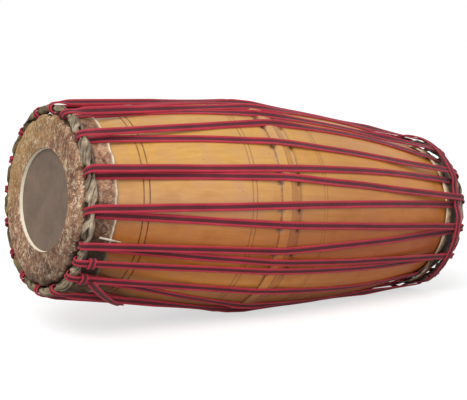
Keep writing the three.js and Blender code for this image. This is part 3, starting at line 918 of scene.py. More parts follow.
@dataclass
class Barrel:
    """The hollow wooden barrel, widest at a raised band, with scribed lines round it."""

    length: float = 578.0
    belly_at: float = 258.0
    belly_radius: float = 129.5
    thoppi_radius: float = 93.0
    valanthalai_radius: float = 85.5
    thoppi_taper: float = 1.75
    valanthalai_taper: float = 2.2
    wall: float = 13.0
    band_width: float = 28.0
    band_rise: float = 2.5
    band_flat: float = 2.0
    band_slope: float = 0.13
    edge_room: float = 3.5
    edge_round: float = 0.5
    foot_step: float = 1.3
    # The painted shadow at the band's near foot: where it fades, and how dark it is.
    foot_shade: Point = (0.6, 1.4)
    foot_strength: float = 0.85
    # The width of the painted highlight on the band's far edge.
    highlight_width: float = 4.0
    rim_chamfer: float = 2.0
    # Each scribed line's place along the barrel, and the share of the full depth and darkness that it has.
    scribed_lines: tuple[Point, ...] = (
        (68.0, 1.0), (75.0, 1.0), (205.0, 0.6), (210.5, 0.65), (259.0, 0.5), (312.0, 0.4), (316.5, 0.5),
    )
    line_width: float = 1.2
    line_depth: float = 0.6
    # Painted shadow on the wood below the larger head's skirt: where it fades along the barrel, and the
    # angles where it begins and ends.
    skirt_shadow_strength: float = 0.88
    skirt_shadow_fades: Point = (34.0, 124.0)
    skirt_shadow_begins: Point = (28.0, 64.0)
    skirt_shadow_ends: Point = (110.0, 130.0)
    step: float = 4.0
    notches: tuple[float, ...] = ()
    notch_depth: float = 2.3
    notch_size: float = 4.6
    turn_steps: int = 288

    def radius(self, x: float) -> float:
        """Gives the turned outer radius, without the band.

        Args:
            x: the place along the barrel.

        Returns:
            The radius there.
        """
        thoppi_side = x < self.belly_at
        span = self.belly_at if thoppi_side else self.length - self.belly_at
        end = self.thoppi_radius if thoppi_side else self.valanthalai_radius
        taper = self.thoppi_taper if thoppi_side else self.valanthalai_taper
        share = min(abs(x - self.belly_at) / span, 1.0)
        return self.belly_radius - (self.belly_radius - end) * share**taper

    @property
    def band(self) -> Point:
        """Gives the places where the band starts and ends."""
        return self.belly_at - self.band_width / 2, self.belly_at + self.band_width / 2

    def outer_line(self) -> list[Point]:
        """Gives the outer outline from end to end, with the band and the scribed lines.

        Returns:
            The (x, r) places in order.
        """
        start, end = self.band
        top = self.belly_radius + self.band_rise
        half = self.line_width / 2

        def clear(x: float) -> bool:
            """Says whether a place is clear of the scribed lines."""
            return all(abs(x - line) > 2 * self.line_width for line, _ in self.scribed_lines)

        def surface(x: float) -> float:
            """Gives the radius at a place, on the band or off it."""
            sloped = top - self.band_slope * max(x - self.belly_at - self.band_flat, 0.0)
            return sloped if start < x < end else self.radius(x)

        plain = np.arange(self.rim_chamfer, self.length - self.rim_chamfer + 0.1, self.step)
        plain = [x for x in plain if clear(x) and min(abs(x - start), abs(x - end)) > self.edge_room]
        points = [(float(x), surface(x)) for x in plain]
        for line, strength in self.scribed_lines:
            points += [(line + side, surface(line + side)) for side in (-2 * half, -half, half, 2 * half)]
            points += [(line, surface(line) - self.line_depth * strength)]
        points += [(start - steps * self.foot_step, self.radius(start)) for steps in (2, 1)]
        points += [(start, top - self.edge_round)]
        points += [(start + past, top) for past in (self.edge_round, self.foot_shade[1])]
        points += [(end - 0.02, surface(end - 0.02)), (end, self.radius(end))]
        points += [(0.0, self.thoppi_radius - self.rim_chamfer)]
        points += [(self.length, self.valanthalai_radius - self.rim_chamfer)]
        return sorted(points)

    def notched(self, x: float, angle: float) -> float:
        """Gives how far the lace has worn the band's edges at a place.

        Args:
            x: the place along the barrel.
            angle: its angle in degrees.

        Returns:
            The wear, from 0 to 1.
        """
        near_edge = min(abs(x - edge) for edge in self.band)
        if near_edge > self.notch_size or not self.notches:
            return 0.0
        around = math.radians(turn_to_nearest(angle, self.notches)) * self.belly_radius
        return 1 - smoothstep(math.hypot(near_edge, around), 0.4 * self.notch_size, self.notch_size)

    def build(self, space: DrumSpace, finish: Jackwood) -> None:
        """Turns the barrel and dresses it.

        Args:
            space: where the drum lies.
            finish: the wood's finish.
        """
        bore = [(float(x), self.radius(x) - self.wall) for x in np.linspace(0, self.length, 30)]
        piece = spun("jackwood_barrel", self.outer_line() + bore[::-1], self.turn_steps)
        start, end = self.band
        half = self.line_width / 2

        def groove_dirt_and_shade(x: float, r: float, angle: float) -> float:
            """Gives how dark the wood is: dark in a scribed line, a painted shadow at the band's near foot, a
            dark line at its far edge and painted shade in a notch.

            Args:
                x: the place along the barrel.
                r: its radius.
                angle: its angle in degrees.

            Returns:
                The darkness, from 0 to 1.
            """
            if r < self.radius(x) - self.wall / 2:
                return 0.0
            near, strength = min((abs(x - line), strength) for line, strength in self.scribed_lines)
            foot = self.foot_strength * (1 - smoothstep(abs(x - start), *self.foot_shade))
            scribed = strength if near < half * 0.5 else 0.6 * strength if near < half * 1.1 else 0.0
            return max(scribed, foot, 0.6 if abs(x - end) < 0.01 else 0.0, self.notched(x, angle))

        def skirt_shadow(x: float, r: float, angle: float) -> float:
            """Gives the painted shadow on the wood below the larger head's skirt."""
            below = smoothstep(angle, *self.skirt_shadow_begins) * (1 - smoothstep(angle, *self.skirt_shadow_ends))
            return self.skirt_shadow_strength * below * (1 - smoothstep(x, *self.skirt_shadow_fades))

        def painted_edge_highlight(x: float, r: float, angle: float) -> float:
            """Gives the painted highlight on the upper half of the band's far edge."""
            at_edge = end - self.highlight_width < x < end - 0.01 and r > self.belly_radius
            return 0.5 * smoothstep(-angle, 5, 30) if at_edge else 0.0

        def dent(x: float, r: float, angle: float) -> tuple[float, float]:
            """Gives the shift of x and of r where the lace has worn a notch."""
            return 0.0, -self.notch_depth * self.notched(x, angle) if r > self.belly_radius else 0.0

        tag(piece, "groove_dirt_and_shade", groove_dirt_and_shade)
        tag(piece, "painted_edge_highlight", painted_edge_highlight)
        tag(piece, "skirt_shadow", skirt_shadow)
        reshape(piece, dent)
        space.settle(piece)
        dress(piece, finish.material(), 35)
        hand_over(piece, "drum", "jackwood", "shell")


class HeadEnd(Enum):
    """The two heads of such a drum."""

    THOPPI = "thoppi"
    VALANTHALAI = "valanthalai"


@dataclass
class Head:
    """One laced head: its playing skin, its thick hide ring with a skirt, and its hoop of twisted strips."""

    end: HeadEnd
    barrel: Barrel
    opening_radius: float
    skirt_reach: float
    skin_from: float
    over_runs: tuple[float, ...]
    under_runs: tuple[float, ...]
    gather: float
    # Where the dirt and painted shade begin on the skirt, towards the hoop.
    dirt_and_shade_from: float
    opening_shift: float = 0.0
    opening_stretch: float = 0.0
    hoop_bulge: float = 0.0
    ring_swell: float = 0.0
    # How strong the painted shade on the skirt's low side is, and the angles between which painted shade
    # falls between the straps.
    skirt_low_shade: float = 0.0
    shaded_angles: Point = (0.0, 0.0)
    skin_thickness: float = 0.8
    ring_thickness: float = 4.6
    skirt_thickness: float = 2.6
    skin_reach: float = 15.0
    rounding: float = 4.0
    fit: float = 0.3
    hoop_fit: float = 0.6
    loop_fit: float = 0.9
    loop_setback: float = 0.2
    hoop_width: float = 11.0
    hoop_height: float = 10.0
    hoop_travel: float = 1.0
    lace_thickness: float = 2.0
    lace_tuck: float = 2.0
    strips: int = 4
    strip_width: float = 7.4
    strip_thickness: float = 3.2
    strip_turns: int = 6
    strip_sides: int = 14
    loop_squeeze: float = 0.3
    hoop_steps: int = 480
    skin_steps: int = 128
    turn_steps: int = 288

    @property
    def name(self) -> str:
        """Gives the head's name."""
        return self.end.value

    @property
    def outward(self) -> float:
        """Gives the way along X that leads out of the drum at this head."""
        return -1.0 if self.end is HeadEnd.THOPPI else 1.0

    def along(self, depth: float) -> float:
        """Gives the place along the barrel of a depth, which grows outwards from the end face."""
        return -depth if self.end is HeadEnd.THOPPI else self.barrel.length + depth

    def depth_of(self, x: float) -> float:
        """Gives the depth of a place along the barrel."""
        return -x if self.end is HeadEnd.THOPPI else x - self.barrel.length

    def surface(self, depth: float, offset: float) -> float:
        """Gives the radius at an offset from the wood."""
        return self.barrel.radius(self.along(min(depth, 0.0))) + offset

    @property
    def skin_offset(self) -> float:
        """Gives the height of the skin's outside above the wood."""
        return self.fit + self.skin_thickness

    @property
    def skirt_offset(self) -> float:
        """Gives the height of the skirt's outside above the wood."""
        return self.skin_offset + self.fit + self.skirt_thickness

    @property
    def ring_from(self) -> float:
        """Gives the depth of the ring's back."""
        return self.skin_from + self.skin_thickness + self.fit

    @property
    def face(self) -> float:
        """Gives the depth of the ring's front."""
        return self.ring_from + self.ring_thickness

    @property
    def loop_reach(self) -> float:
        """Gives how far a lace loop stands out from the middle of the hoop."""
        return self.hoop_width / 2 + self.hoop_travel + self.loop_fit + self.lace_thickness

    @property
    def hoop_depth(self) -> float:
        """Gives the depth of the hoop's middle."""
        return self.face - self.loop_setback - self.loop_reach

    def lace_under(self, depth: float) -> float:
        """Gives the radius of the lace where it lies on the skirt."""
        return self.surface(depth, self.skirt_offset + self.fit + self.lace_thickness / 2)

    @property
    def hoop_radius(self) -> float:
        """Gives the radius of the hoop's middle."""
        lowest = self.lace_under(self.hoop_depth - self.hoop_width / 4)
        return lowest + self.lace_thickness / 2 + self.hoop_fit + self.hoop_height / 2

    @property
    def lace_over(self) -> float:
        """Gives the radius of the lace on top of the hoop."""
        return self.hoop_radius + self.hoop_height / 2 + self.fit + self.lace_thickness / 2

    @property
    def lace_join(self) -> float:
        """Gives the depth where a loop's tucked end stops behind the hoop."""
        return self.hoop_depth - self.hoop_width / 2 - self.lace_tuck

    def placed(self, outline: Sequence[Point]) -> list[Point]:
        """Turns (depth, r) places into (x, r) places."""
        return [(self.along(depth), r) for depth, r in outline]

    def build_skin(self, space: DrumSpace, finish: GoatSkin) -> None:
        """Turns the playing skin, drawn down over the rim.

        Args:
            space: where the drum lies.
            finish: the skin's finish.
        """
        low = self.skin_from
        high = low + self.skin_thickness
        edge = self.surface(0, self.fit)
        outline = [(low, 0.0), (low, edge)]
        outline += [(-self.skin_reach, self.surface(-self.skin_reach, self.fit))]
        outline += [(-self.skin_reach, self.surface(-self.skin_reach, self.skin_offset))]
        outline += [(0.0, self.surface(0, self.skin_offset)), (high, edge)]
        outline += [(high, float(r)) for r in np.linspace(edge, 0, 24)[1:]]
        piece = spun(f"{self.name}_skin", self.placed(outline), self.skin_steps)
        space.settle(piece)
        dress(piece, finish.material(), 40)
        hand_over(piece, "drum", "goat_skin", f"{self.name}_playing_skin")

    def ring_outline(self) -> list[Point]:
        """Gives the hide ring's closed outline.

        Returns:
            The (depth, r) places in order.
        """
        rim = self.surface(0, self.skirt_offset)
        under = self.skin_offset + self.fit
        bend = self.rounding
        slope = 1.3
        reach = self.skirt_reach
        face = [(self.face, float(r)) for r in np.arange(self.opening_radius + slope + 1, rim - bend, 2.0)]
        corner = [
            (self.face - bend * (1 - math.cos(turn)), rim - bend * (1 - math.sin(turn)))
            for turn in np.linspace(0, math.pi / 2, 7)
        ]
        skirt = [(float(d), self.surface(d, self.skirt_offset)) for d in np.arange(0, -reach + 1.4, -1.5)]
        hem = [
            (-reach + 0.6, self.surface(-reach, self.skirt_offset - 0.1)),
            (-reach, self.surface(-reach, self.skirt_offset - 0.8)),
            (-reach, self.surface(-reach, under + 0.3)),
        ]
        back = [(float(d), self.surface(d, under)) for d in np.linspace(-reach + 0.5, 0, 10)]
        return [
            (self.ring_from, self.opening_radius),
            (self.ring_from + self.ring_thickness * 0.5, self.opening_radius + slope * 0.4),
            (self.face - 0.5, self.opening_radius + slope * 0.8),
            (self.face, self.opening_radius + slope),
            *face,
            *corner,
            *skirt,
            *hem,
            *back,
            (self.ring_from, self.surface(0, self.fit)),
        ]

    def gathered(self, depth: float, angle: float) -> float:
        """Gives how high the skirt is gathered behind the hoop, between the runs that lie on it.

        Args:
            depth: the depth of a place on the skirt.
            angle: its angle in degrees.

        Returns:
            The height in millimetres.
        """
        behind = self.hoop_depth - self.hoop_width / 2 - self.hoop_travel
        ridge = smoothstep(depth, behind - 16, behind - 5) * (1 - smoothstep(depth, behind - 4, behind - 0.5))
        away = turn_to_nearest(angle, self.under_runs)
        room = smoothstep(math.radians(away) * self.barrel.thoppi_radius, 6.5, 12)
        crumple = 0.6 + 0.5 * ripple(angle * 1.4 + depth * 2, depth, 0.0, 7.0)
        return self.gather * ridge * room * min(crumple, 1.0)

    def stuffed(self, depth: float, angle: float) -> float:
        """Gives how far the ring swells up to the hoop, between the loops that squeeze it.

        Args:
            depth: the depth of a place on the ring.
            angle: its angle in degrees.

        Returns:
            The swelling in millimetres.
        """
        front = smoothstep(depth, self.hoop_depth - 2.5, self.hoop_depth + 1.5)
        below = 1 - smoothstep(depth, self.face - 3, self.face)
        return self.ring_swell * front * below * self.free(angle, 6.8)

    def build_ring(self, space: DrumSpace, finish: ScrapedHide) -> None:
        """Turns the thick hide ring and creases its skirt.

        Args:
            space: where the drum lies.
            finish: the hide's finish.
        """
        piece = spun(f"{self.name}_hide_ring", self.placed(self.ring_outline()), self.turn_steps)
        rim = self.surface(0, self.skirt_offset)

        def cut(x: float, r: float, angle: float) -> float:
            """Gives how much of the hide's pale cut edge shows, at the opening and at the hem.

            Args:
                x: the place along the barrel.
                r: its radius.
                angle: its angle in degrees; not used.

            Returns:
                The share of the cut's colour, more than 1 where no stain may hide it.
            """
            depth = self.depth_of(x)
            if r < self.opening_radius + 1.4 and depth > self.ring_from - 0.1:
                return 1.8 - 1.8 * smoothstep(depth, self.face - 1.6, self.face - 0.3)
            return 0.9 - 0.9 * smoothstep(depth, -self.skirt_reach + 1.8, -self.skirt_reach + 3.4)

        def dirt_and_shade(x: float, r: float, angle: float) -> float:
            """Gives the dirt and painted shade on the skirt: dark below the hoop, with painted shade at its
            shaded angles and on its low side.

            Args:
                x: the place along the barrel.
                r: its radius; not used.
                angle: its angle in degrees.

            Returns:
                The share of the dark colour.
            """
            depth = self.depth_of(x)
            if depth > 0.5:
                return 0.0
            low, high = self.shaded_angles
            side = smoothstep(angle, low, low + 6) * (1 - smoothstep(angle, high - 6, high))
            low_shade = self.skirt_low_shade * smoothstep(math.sin(math.radians(angle)), -0.6, 0.0)
            return max(0.85 * smoothstep(depth, self.dirt_and_shade_from, self.dirt_and_shade_from + 5), 0.75 * side, low_shade)

        def crease(x: float, r: float, angle: float) -> tuple[float, float]:
            """Gives how the hide is creased, gathered and swollen, and its opening cut out of round.

            Args:
                x: the place along the barrel.
                r: its radius.
                angle: its angle in degrees.

            Returns:
                The shift of x and of r.
            """
            depth = self.depth_of(x)
            turn = math.radians(angle)
            y, z = math.cos(turn) * rim, math.sin(turn) * rim
            behind = depth < self.ring_from + 0.1 and r > self.opening_radius + 3
            if depth > self.ring_from - 0.1 and not behind:
                inside = smoothstep(r, self.opening_radius + 2, rim - 2)
                swell = ripple(r, y, z, 7.0) * 0.35 + ripple(r, y, z, 20.0) * 0.45
                bulge = ripple(y, z, 9.0, 11.0) * 0.7 * smoothstep(r, rim - 12, rim - 2)
                moved = self.opening_shift * math.cos(turn) + self.opening_stretch * math.cos(2 * turn)
                slid = moved * (1 - smoothstep(r, self.opening_radius, rim - 4))
                out = bulge - 0.4 * inside + slid + self.stuffed(depth, angle) * smoothstep(r, rim - 4, rim)
                return self.outward * (swell - 0.4) * inside, out
            outside = r > self.surface(depth, self.skirt_offset - 1.2)
            if not outside:
                return 0.0, 0.0
            scuffs = abs(ripple(x, y, z, 5.0)) * 0.4
            wave = ripple(y, z, 7.0, 16.0) * 2.0 + ripple(y, z, 1.0, 6.0) * 0.8
            hem = smoothstep(-depth, self.skirt_reach * 0.6, self.skirt_reach)
            raised = max(self.gathered(depth, angle), self.stuffed(depth, angle))
            return -self.outward * wave * hem, raised - scuffs * smoothstep(-depth, 0.0, 2.0)

        def scuff(x: float, r: float, angle: float) -> float:
            """Gives how scuffed the hide is, less on the skirt than on the face."""
            return blend(0.45, 1.0, smoothstep(self.depth_of(x), -3.0, 3.0))

        tag(piece, "cut", cut)
        tag(piece, "dirt_and_shade", dirt_and_shade)
        tag(piece, "scuff", scuff)
        reshape(piece, crease)
        space.settle(piece)
        dress(piece, finish.material(), 40)
        hand_over(piece, "drum", "ring_hide", f"{self.name}_outer_ring")

    def free(self, angle: float, clear: float = 10.0) -> float:
        """Gives how free the hoop is of the lace's loops at an angle."""
        away = turn_to_nearest(angle, self.over_runs + self.under_runs)
        return smoothstep(math.radians(away) * self.hoop_radius, 4.5, clear)

    def build_hoop(self, space: DrumSpace, finish: TwistedHide) -> None:
        """Twists the hoop loosely from flat hide strips.

        Args:
            space: where the drum lies.
            finish: the strips' finish.
        """
        lay_x = (self.hoop_width - self.strip_thickness) / 2
        lay_r = (self.hoop_height - self.strip_thickness) / 2
        routes = []
        for strip in range(self.strips):
            route = Route()
            for step in range(self.hoop_steps):
                share = step / self.hoop_steps
                angle = 360 * share
                y, z = math.cos(2 * math.pi * share), math.sin(2 * math.pi * share)
                near = blend(0.4, 1.0, smoothstep(y, -0.7, 0.1))
                drift = 0.22 * ripple(y, z, strip * 3.0, 0.2)
                turn = 2 * math.pi * (self.strip_turns * share + strip / self.strips + drift)
                free = self.free(angle)
                loose = self.hoop_bulge * near * free * (0.8 + 0.6 * ripple(y, z, 8.0, 0.2))
                front = max(self.outward * math.cos(turn), 0.0)
                grip = 1 - self.loop_squeeze * (1 - free)
                rise = lay_r * math.sin(turn) * (0.9 + 0.3 * ripple(y, z, strip * 7.0, 0.1))
                x = self.along(self.hoop_depth) + grip * lay_x * math.cos(turn) + self.outward * loose * front
                face = outwards(angle) * math.sin(turn) + np.array([math.cos(turn), 0.0, 0.0])
                swell = 1 + 0.5 * near * ripple(y, z, strip * 5.0, 0.12) + 0.1 * loose
                route.add(point_on(x, self.hoop_radius + grip * rise, angle), face, grip * swell)
            routes.append(route)
        turns = np.linspace(0, 2 * math.pi, self.strip_sides, endpoint=False)
        half_width, half_height = self.strip_width / 2, self.strip_thickness / 2
        section = [(half_width * math.cos(t), half_height * math.sin(t)) for t in turns]
        piece = swept(f"{self.name}_twisted_hoop", routes, section, closed=True)
        space.settle(piece)
        dress(piece, finish.material(), 60)
        hand_over(piece, f"{self.name}_tuning_hoop", "plaited_hide", f"{self.name}_hoop")


@dataclass
class TunedPatch:
    """What only the smaller head has: a hide ring below its skin and the black patch on it."""

    head: Head
    inner_thickness: float = 1.2
    radius: float = 42.0
    thickness: float = 2.0
    rim_thickness: float = 0.6
    shoulder_thickness: float = 1.6
    shoulder_radius: float = 29.0
    turn_steps: int = 96

    def build(self, space: DrumSpace, hide: ScrapedHide, paste: RubbedPaste) -> None:
        """Turns the inner ring and the patch.

        Args:
            space: where the drum lies.
            hide: the ring's finish.
            paste: the patch's finish.
        """
        head = self.head
        low = head.fit
        high = low + self.inner_thickness
        edge = head.barrel.valanthalai_radius
        ring = [(low, head.opening_radius), (low, edge), (high, edge), (high, head.opening_radius)]
        inner = spun("valanthalai_inner_hide", head.placed(ring), self.turn_steps)
        tag(inner, "cut", lambda x, r, angle: 1.0 if r < head.opening_radius + 0.1 else 0.0)
        space.settle(inner)
        dress(inner, hide.material(), 30)
        hand_over(inner, "drum", "ring_hide", "valanthalai_inner_ring")
        base = head.skin_from + head.skin_thickness + head.fit
        top = [(base, 0.0), (base, self.radius), (base + self.rim_thickness * 0.6, self.radius)]
        for share in np.linspace(0, 1, 6):
            lift = math.sin(share * math.pi / 2)
            r = blend(self.radius - 0.6, self.shoulder_radius, share)
            top.append((base + blend(self.rim_thickness, self.shoulder_thickness, lift), r))
        for share in np.linspace(0, 1, 8)[1:]:
            lift = math.sin(share * math.pi / 2)
            r = self.shoulder_radius * (1 - share)
            top.append((base + blend(self.shoulder_thickness, self.thickness, lift), r))
        patch = spun("karanai_paste_patch", head.placed(top), self.turn_steps)
        space.settle(patch)
        dress(patch, paste.material(), 30)
        hand_over(patch, "drum", "patch_paste", "karanai_patch")


@dataclass
class RunAngles:
    """A run's angles at the thoppi eye, the belly and the valanthalai eye."""

    thoppi: float
    belly: float
    valanthalai: float


@dataclass
class Lace:
    """The woven lace: runs between the hoops, a strap behind the smaller one, two hitches and a spare end."""

    barrel: Barrel
    thoppi: Head
    valanthalai: Head
    width: float = 9.5
    thickness: float = 2.0
    rim_strap_fit: float = 0.5
    spacing: float = 3.0
    eye_spread: float = 2.5
    # The angles of the 17 eyes' straps at the thoppi's hoop and at the belly, and of the valanthalai's eyes.
    over_at_thoppi: tuple[float, ...] = (
        -45.6, -22.5, 0.3, 22, 33.5, 46.5, 67.5, 91, 114.5,
        136.5, 159.5, 181.5, 201.5, 224, 248.5, 270.5, 293.5,
    )
    under_at_thoppi: tuple[float, ...] = (
        -46, -20, 4, 25.2, 36.5, 49.5, 73, 93, 116.5,
        138.5, 161.5, 183.5, 203.5, 226, 250.5, 272.5, 286,
    )
    over_at_belly: tuple[float, ...] = (
        -54.8, -24.6, -5.2, 19.1, 31.6, 47, 76, 97, 118,
        139, 161, 182.3, 203, 224.6, 247, 267, 287,
    )
    under_at_belly: tuple[float, ...] = (
        -40.2, -19.7, 5, 26, 46, 65, 88, 107, 128,
        149, 171, 192, 213, 235, 257, 275.5, 297,
    )
    valanthalai_eyes: tuple[float, ...] = (
        -34.7, -13.5, 8.6, 32.8, 55, 76, 98, 118.5, 139,
        160, 181, 202, 223, 243.5, 264, 281, 301.5,
    )
    tied_eye: int = 4
    tied_end_reach: float = 17.0
    hitched_eyes: tuple[int, int] = (4, 5)
    hitch_width: float = 8.0
    hitch_from_hoop: float = 4.0
    hitch_opening: float = 14.0
    hitch_squareness: float = 0.5
    # The spare end's way: each place along the barrel, its angle and its height above the wood.
    tail_places: tuple[tuple[float, float, float], ...] = (
        (23.5, 47.5, 18.8), (34, 52.5, 17.8), (48, 59, 15.6), (60, 64.3, 14.2),
        (72, 69.5, 12.6), (84, 74.5, 11.4), (94, 78.5, 10.7),
    )
    dipped_eyes: tuple[int, ...] = (1, 5, 9, 13)
    top_lean: float = 46.0
    loop_snug: float = 0.7
    rim_strap_start: float = -150.0
    rim_strap_overlap: float = 9.0
    rim_strap_ramp: float = 16.0

    def section(self, width: float) -> list[Point]:
        """Gives the tape's section: two rolled edges and a thinner middle.

        Args:
            width: the tape's width.

        Returns:
            The closed (across, out) outline.
        """
        half = width / 2
        high = self.thickness / 2
        right = [(0.0, 0.4), (0.3, 0.4), (0.42, 0.45), (0.52, 0.8), (0.7, 1.0), (0.87, 0.85), (0.97, 0.5)]
        upper = [(-x * half, y * high) for x, y in right[:0:-1]] + [(x * half, y * high) for x, y in right]
        outline = upper + [(half, 0.0)] + [(x, -y) for x, y in reversed(upper)] + [(-half, 0.0)]
        return outline[::-1]

    def bed(self) -> list[Point]:
        """Gives the places that a run lies on: the skirts' edges and the barrel.

        Returns:
            The (x, r) places in order.
        """
        lift = 0.3 + self.thickness / 2
        edges = [
            (head.along(-head.skirt_reach), head.surface(-head.skirt_reach, head.skirt_offset + lift))
            for head in (self.thoppi, self.valanthalai)
        ]
        start, end = self.barrel.band
        top = self.barrel.belly_radius + self.barrel.band_rise
        wood = [(float(x), self.barrel.radius(x)) for x in np.linspace(0, start, 10)]
        wood += [(start, top), (end, top)]
        wood += [(float(x), self.barrel.radius(x)) for x in np.linspace(end, self.barrel.length, 12)]
        between = [(x, r + lift) for x, r in wood if edges[0][0] < x < edges[1][0]]
        return [edges[0], *between, edges[1]]

    def line(self, over: Head, under: Head) -> list[Point]:
        """Gives the taut (x, r) line of a run, over one hoop and under the other.

        Args:
            over: the head whose hoop the run lies on.
            under: the head whose hoop it passes under.

        Returns:
            The line from the thoppi to the valanthalai.
        """
        over_end = (over.along(over.hoop_depth), over.lace_over)
        depth = under.lace_join - under.loop_fit
        under_end = (under.along(depth), under.lace_under(depth))
        ends = (over_end, under_end) if over is self.thoppi else (under_end, over_end)
        hull: list[Point] = []
        for point in [ends[0], *self.bed(), ends[1]]:
            while len(hull) > 1:
                a, b = hull[-2:]
                if (b[1] - a[1]) * (point[0] - a[0]) > (point[1] - a[1]) * (b[0] - a[0]):
                    break
                hull.pop()
            hull.append(point)
        return hull

    @staticmethod
    def on_line(line: Sequence[Point], x: float) -> Point:
        """Gives a line's radius at a place and how fast it rises there.

        Args:
            line: (x, r) places in order.
            x: the place along the barrel.

        Returns:
            The radius and the rise.
        """
        places = [p[0] for p in line]
        at = min(max(int(np.searchsorted(places, x)), 1), len(line) - 1)
        a, b = line[at - 1], line[at]
        rise = (b[1] - a[1]) / (b[0] - a[0])
        return a[1] + rise * (x - a[0]), rise

    def angle_at(self, angles: RunAngles, x: float) -> float:
        """Gives a run's angle at a place, on its straight way from each eye to the belly.

        Args:
            angles: the run's angles.
            x: the place along the barrel.

        Returns:
            The angle in degrees.
        """
        belly = self.barrel.belly_at
        if x < belly:
            return blend(angles.thoppi, angles.belly, x / belly)
        return blend(angles.belly, angles.valanthalai, (x - belly) / (self.barrel.length - belly))

    def belly_edges(self) -> tuple[float, ...]:
        """Gives the angles of every run's lower edge at the belly."""
        half = math.degrees((self.width / 2 + 1) / self.barrel.belly_radius)
        return tuple(angle + half for angle in self.over_at_belly + self.under_at_belly)

    def lean(self, x: float, r: float, angle: float) -> float:
        """Gives how far a run that stands clear of the drum rolls over at the drum's top and bottom.

        Args:
            x: the place along the barrel.
            r: the run's radius there.
            angle: its angle.

        Returns:
            The roll in degrees.
        """
        ground = self.barrel.radius(x)
        for head in (self.thoppi, self.valanthalai):
            depth = head.depth_of(x)
            if depth > -head.skirt_reach:
                ground = head.surface(depth, head.skirt_offset)
        gap = max(r - ground - self.thickness / 2, 0.0)
        limit = math.degrees(math.asin(min(gap / (self.width / 2), 1.0)))
        turn = math.radians(angle)
        wanted = self.top_lean * smoothstep(abs(math.sin(turn)), 0.6, 0.95)
        side = 1.0 if math.cos(turn) > -0.2 else -1.0
        return -math.copysign(1.0, math.sin(turn)) * side * min(wanted, limit)

    def loop(self, head: Head, under: float, over: float) -> Route:
        """Gives the loop of a run round the front of a hoop, from below it to the top of it.

        Args:
            head: the head whose hoop it goes round.
            under: the angle below the hoop.
            over: the angle on top of it.

        Returns:
            The loop's route, narrowed where it bends.
        """
        low = head.lace_under(head.hoop_depth)
        middle = (low + head.lace_over) / 2
        height = (head.lace_over - low) / 2
        reach = head.loop_reach - self.thickness / 2 - self.loop_snug
        route = Route()
        for depth in np.linspace(head.lace_join, head.hoop_depth, 6)[:-1]:
            route.add(point_on(head.along(depth), head.lace_under(depth), under), -outwards(under))
        for turn in np.linspace(-math.pi / 2, math.pi / 2, 25):
            share = turn / math.pi + 0.5
            angle = blend(under, over, share)
            depth = head.hoop_depth + reach * math.cos(turn)
            face = outwards(angle) * math.sin(turn) + np.array([head.outward * math.cos(turn), 0, 0])
            r = middle + height * math.sin(turn)
            route.add(point_on(head.along(depth), r, angle), face, 1 - 0.2 * math.cos(turn))
        return route

    def run(
        self, head: Head, line: Sequence[Point], angles: RunAngles, loop_under: float, seed: int
    ) -> Route:
        """Gives a run's route: its loop round the hoop that it lies over, then its way along the line.

        Args:
            head: the head whose hoop it lies over.
            line: the (x, r) line of its way.
            angles: its angles.
            loop_under: the angle of the loop's tucked end.
            seed: tells the runs' small unevenness apart.

        Returns:
            The route.
        """
        from_x, to_x = line[0][0], line[-1][0]
        count = max(int((to_x - from_x) / self.spacing), 4)
        xs = np.linspace(from_x, to_x, count + 1)
        if head is self.valanthalai:
            xs = xs[::-1]
        route = self.loop(head, loop_under, self.angle_at(angles, float(xs[0])))
        for x in xs[1:]:
            r, rise = self.on_line(line, float(x))
            ease = smoothstep(min(abs(x - from_x), abs(to_x - x)), 10, 60)
            stray = ripple(float(x), seed * 37.0, 0.0, 70.0) * 0.5 * ease
            angle = self.angle_at(angles, float(x)) + math.degrees(stray / r)
            uneven = ripple(float(x), seed * 37.0, 50.0, 110.0) * 6.0
            leaning = smoothstep(float(x) - from_x, 3, 20) * smoothstep(to_x - float(x), 30, 130)
            roll = self.lean(float(x), r, angle) * leaning + uneven * ease
            face = outwards(angle + roll) - np.array([rise, 0, 0])
            route.add(point_on(float(x), r, angle), face)
        return route.resampled(self.spacing, 2)

    def finish_strap(
        self, name: str, route: Route, width: float, space: DrumSpace, material: bpy.types.Material, node: str
    ) -> bpy.types.Object:
        """Sweeps a strap along its route, dresses it and hands it over.

        Args:
            name: the piece's name.
            route: its way.
            width: its width.
            space: where the drum lies.
            material: the tape's finish.
            node: the node that it stands for.

        Returns:
            The finished strap.
        """
        piece = swept(name, [route], self.section(width))
        space.settle(piece)
        dress(piece, material, 50)
        hand_over(piece, "drum", "lace_webbing", node)
        return piece

    def build_runs(self, space: DrumSpace, material: bpy.types.Material) -> None:
        """Builds every run of the lace.

        Args:
            space: where the drum lies.
            material: the tape's finish.
        """
        over_line = self.line(self.thoppi, self.valanthalai)
        under_line = self.line(self.valanthalai, self.thoppi)
        eyes = self.valanthalai_eyes
        for index, start in enumerate(self.over_at_thoppi):
            label = f"{index + 1:02d}"
            before = eyes[index - 1] - (360 if index == 0 else 0)
            over = RunAngles(start, self.over_at_belly[index], before + self.eye_spread)
            under = RunAngles(
                self.under_at_thoppi[index], self.under_at_belly[index], eyes[index] - self.eye_spread
            )
            route = self.run(self.thoppi, over_line, over, under.thoppi, index)
            name = f"lace_over_{label}"
            self.finish_strap(name, route, self.width, space, material, f"lace_over_run_{label}")
            line = under_line
            name = f"lace_under_{label}"
            node = f"lace_under_run_{label}"
            if index == self.tied_eye:
                x = self.valanthalai.along(self.valanthalai.hoop_depth - self.tied_end_reach)
                line = [(x, self.on_line(under_line, x)[0]), *(p for p in under_line if p[0] > x)]
                name = "lace_tied_stub"
                node = "lace_tied_end"
            route = self.run(self.valanthalai, line, under, eyes[index] + self.eye_spread, index + 50)
            self.finish_strap(name, route, self.width, space, material, node)

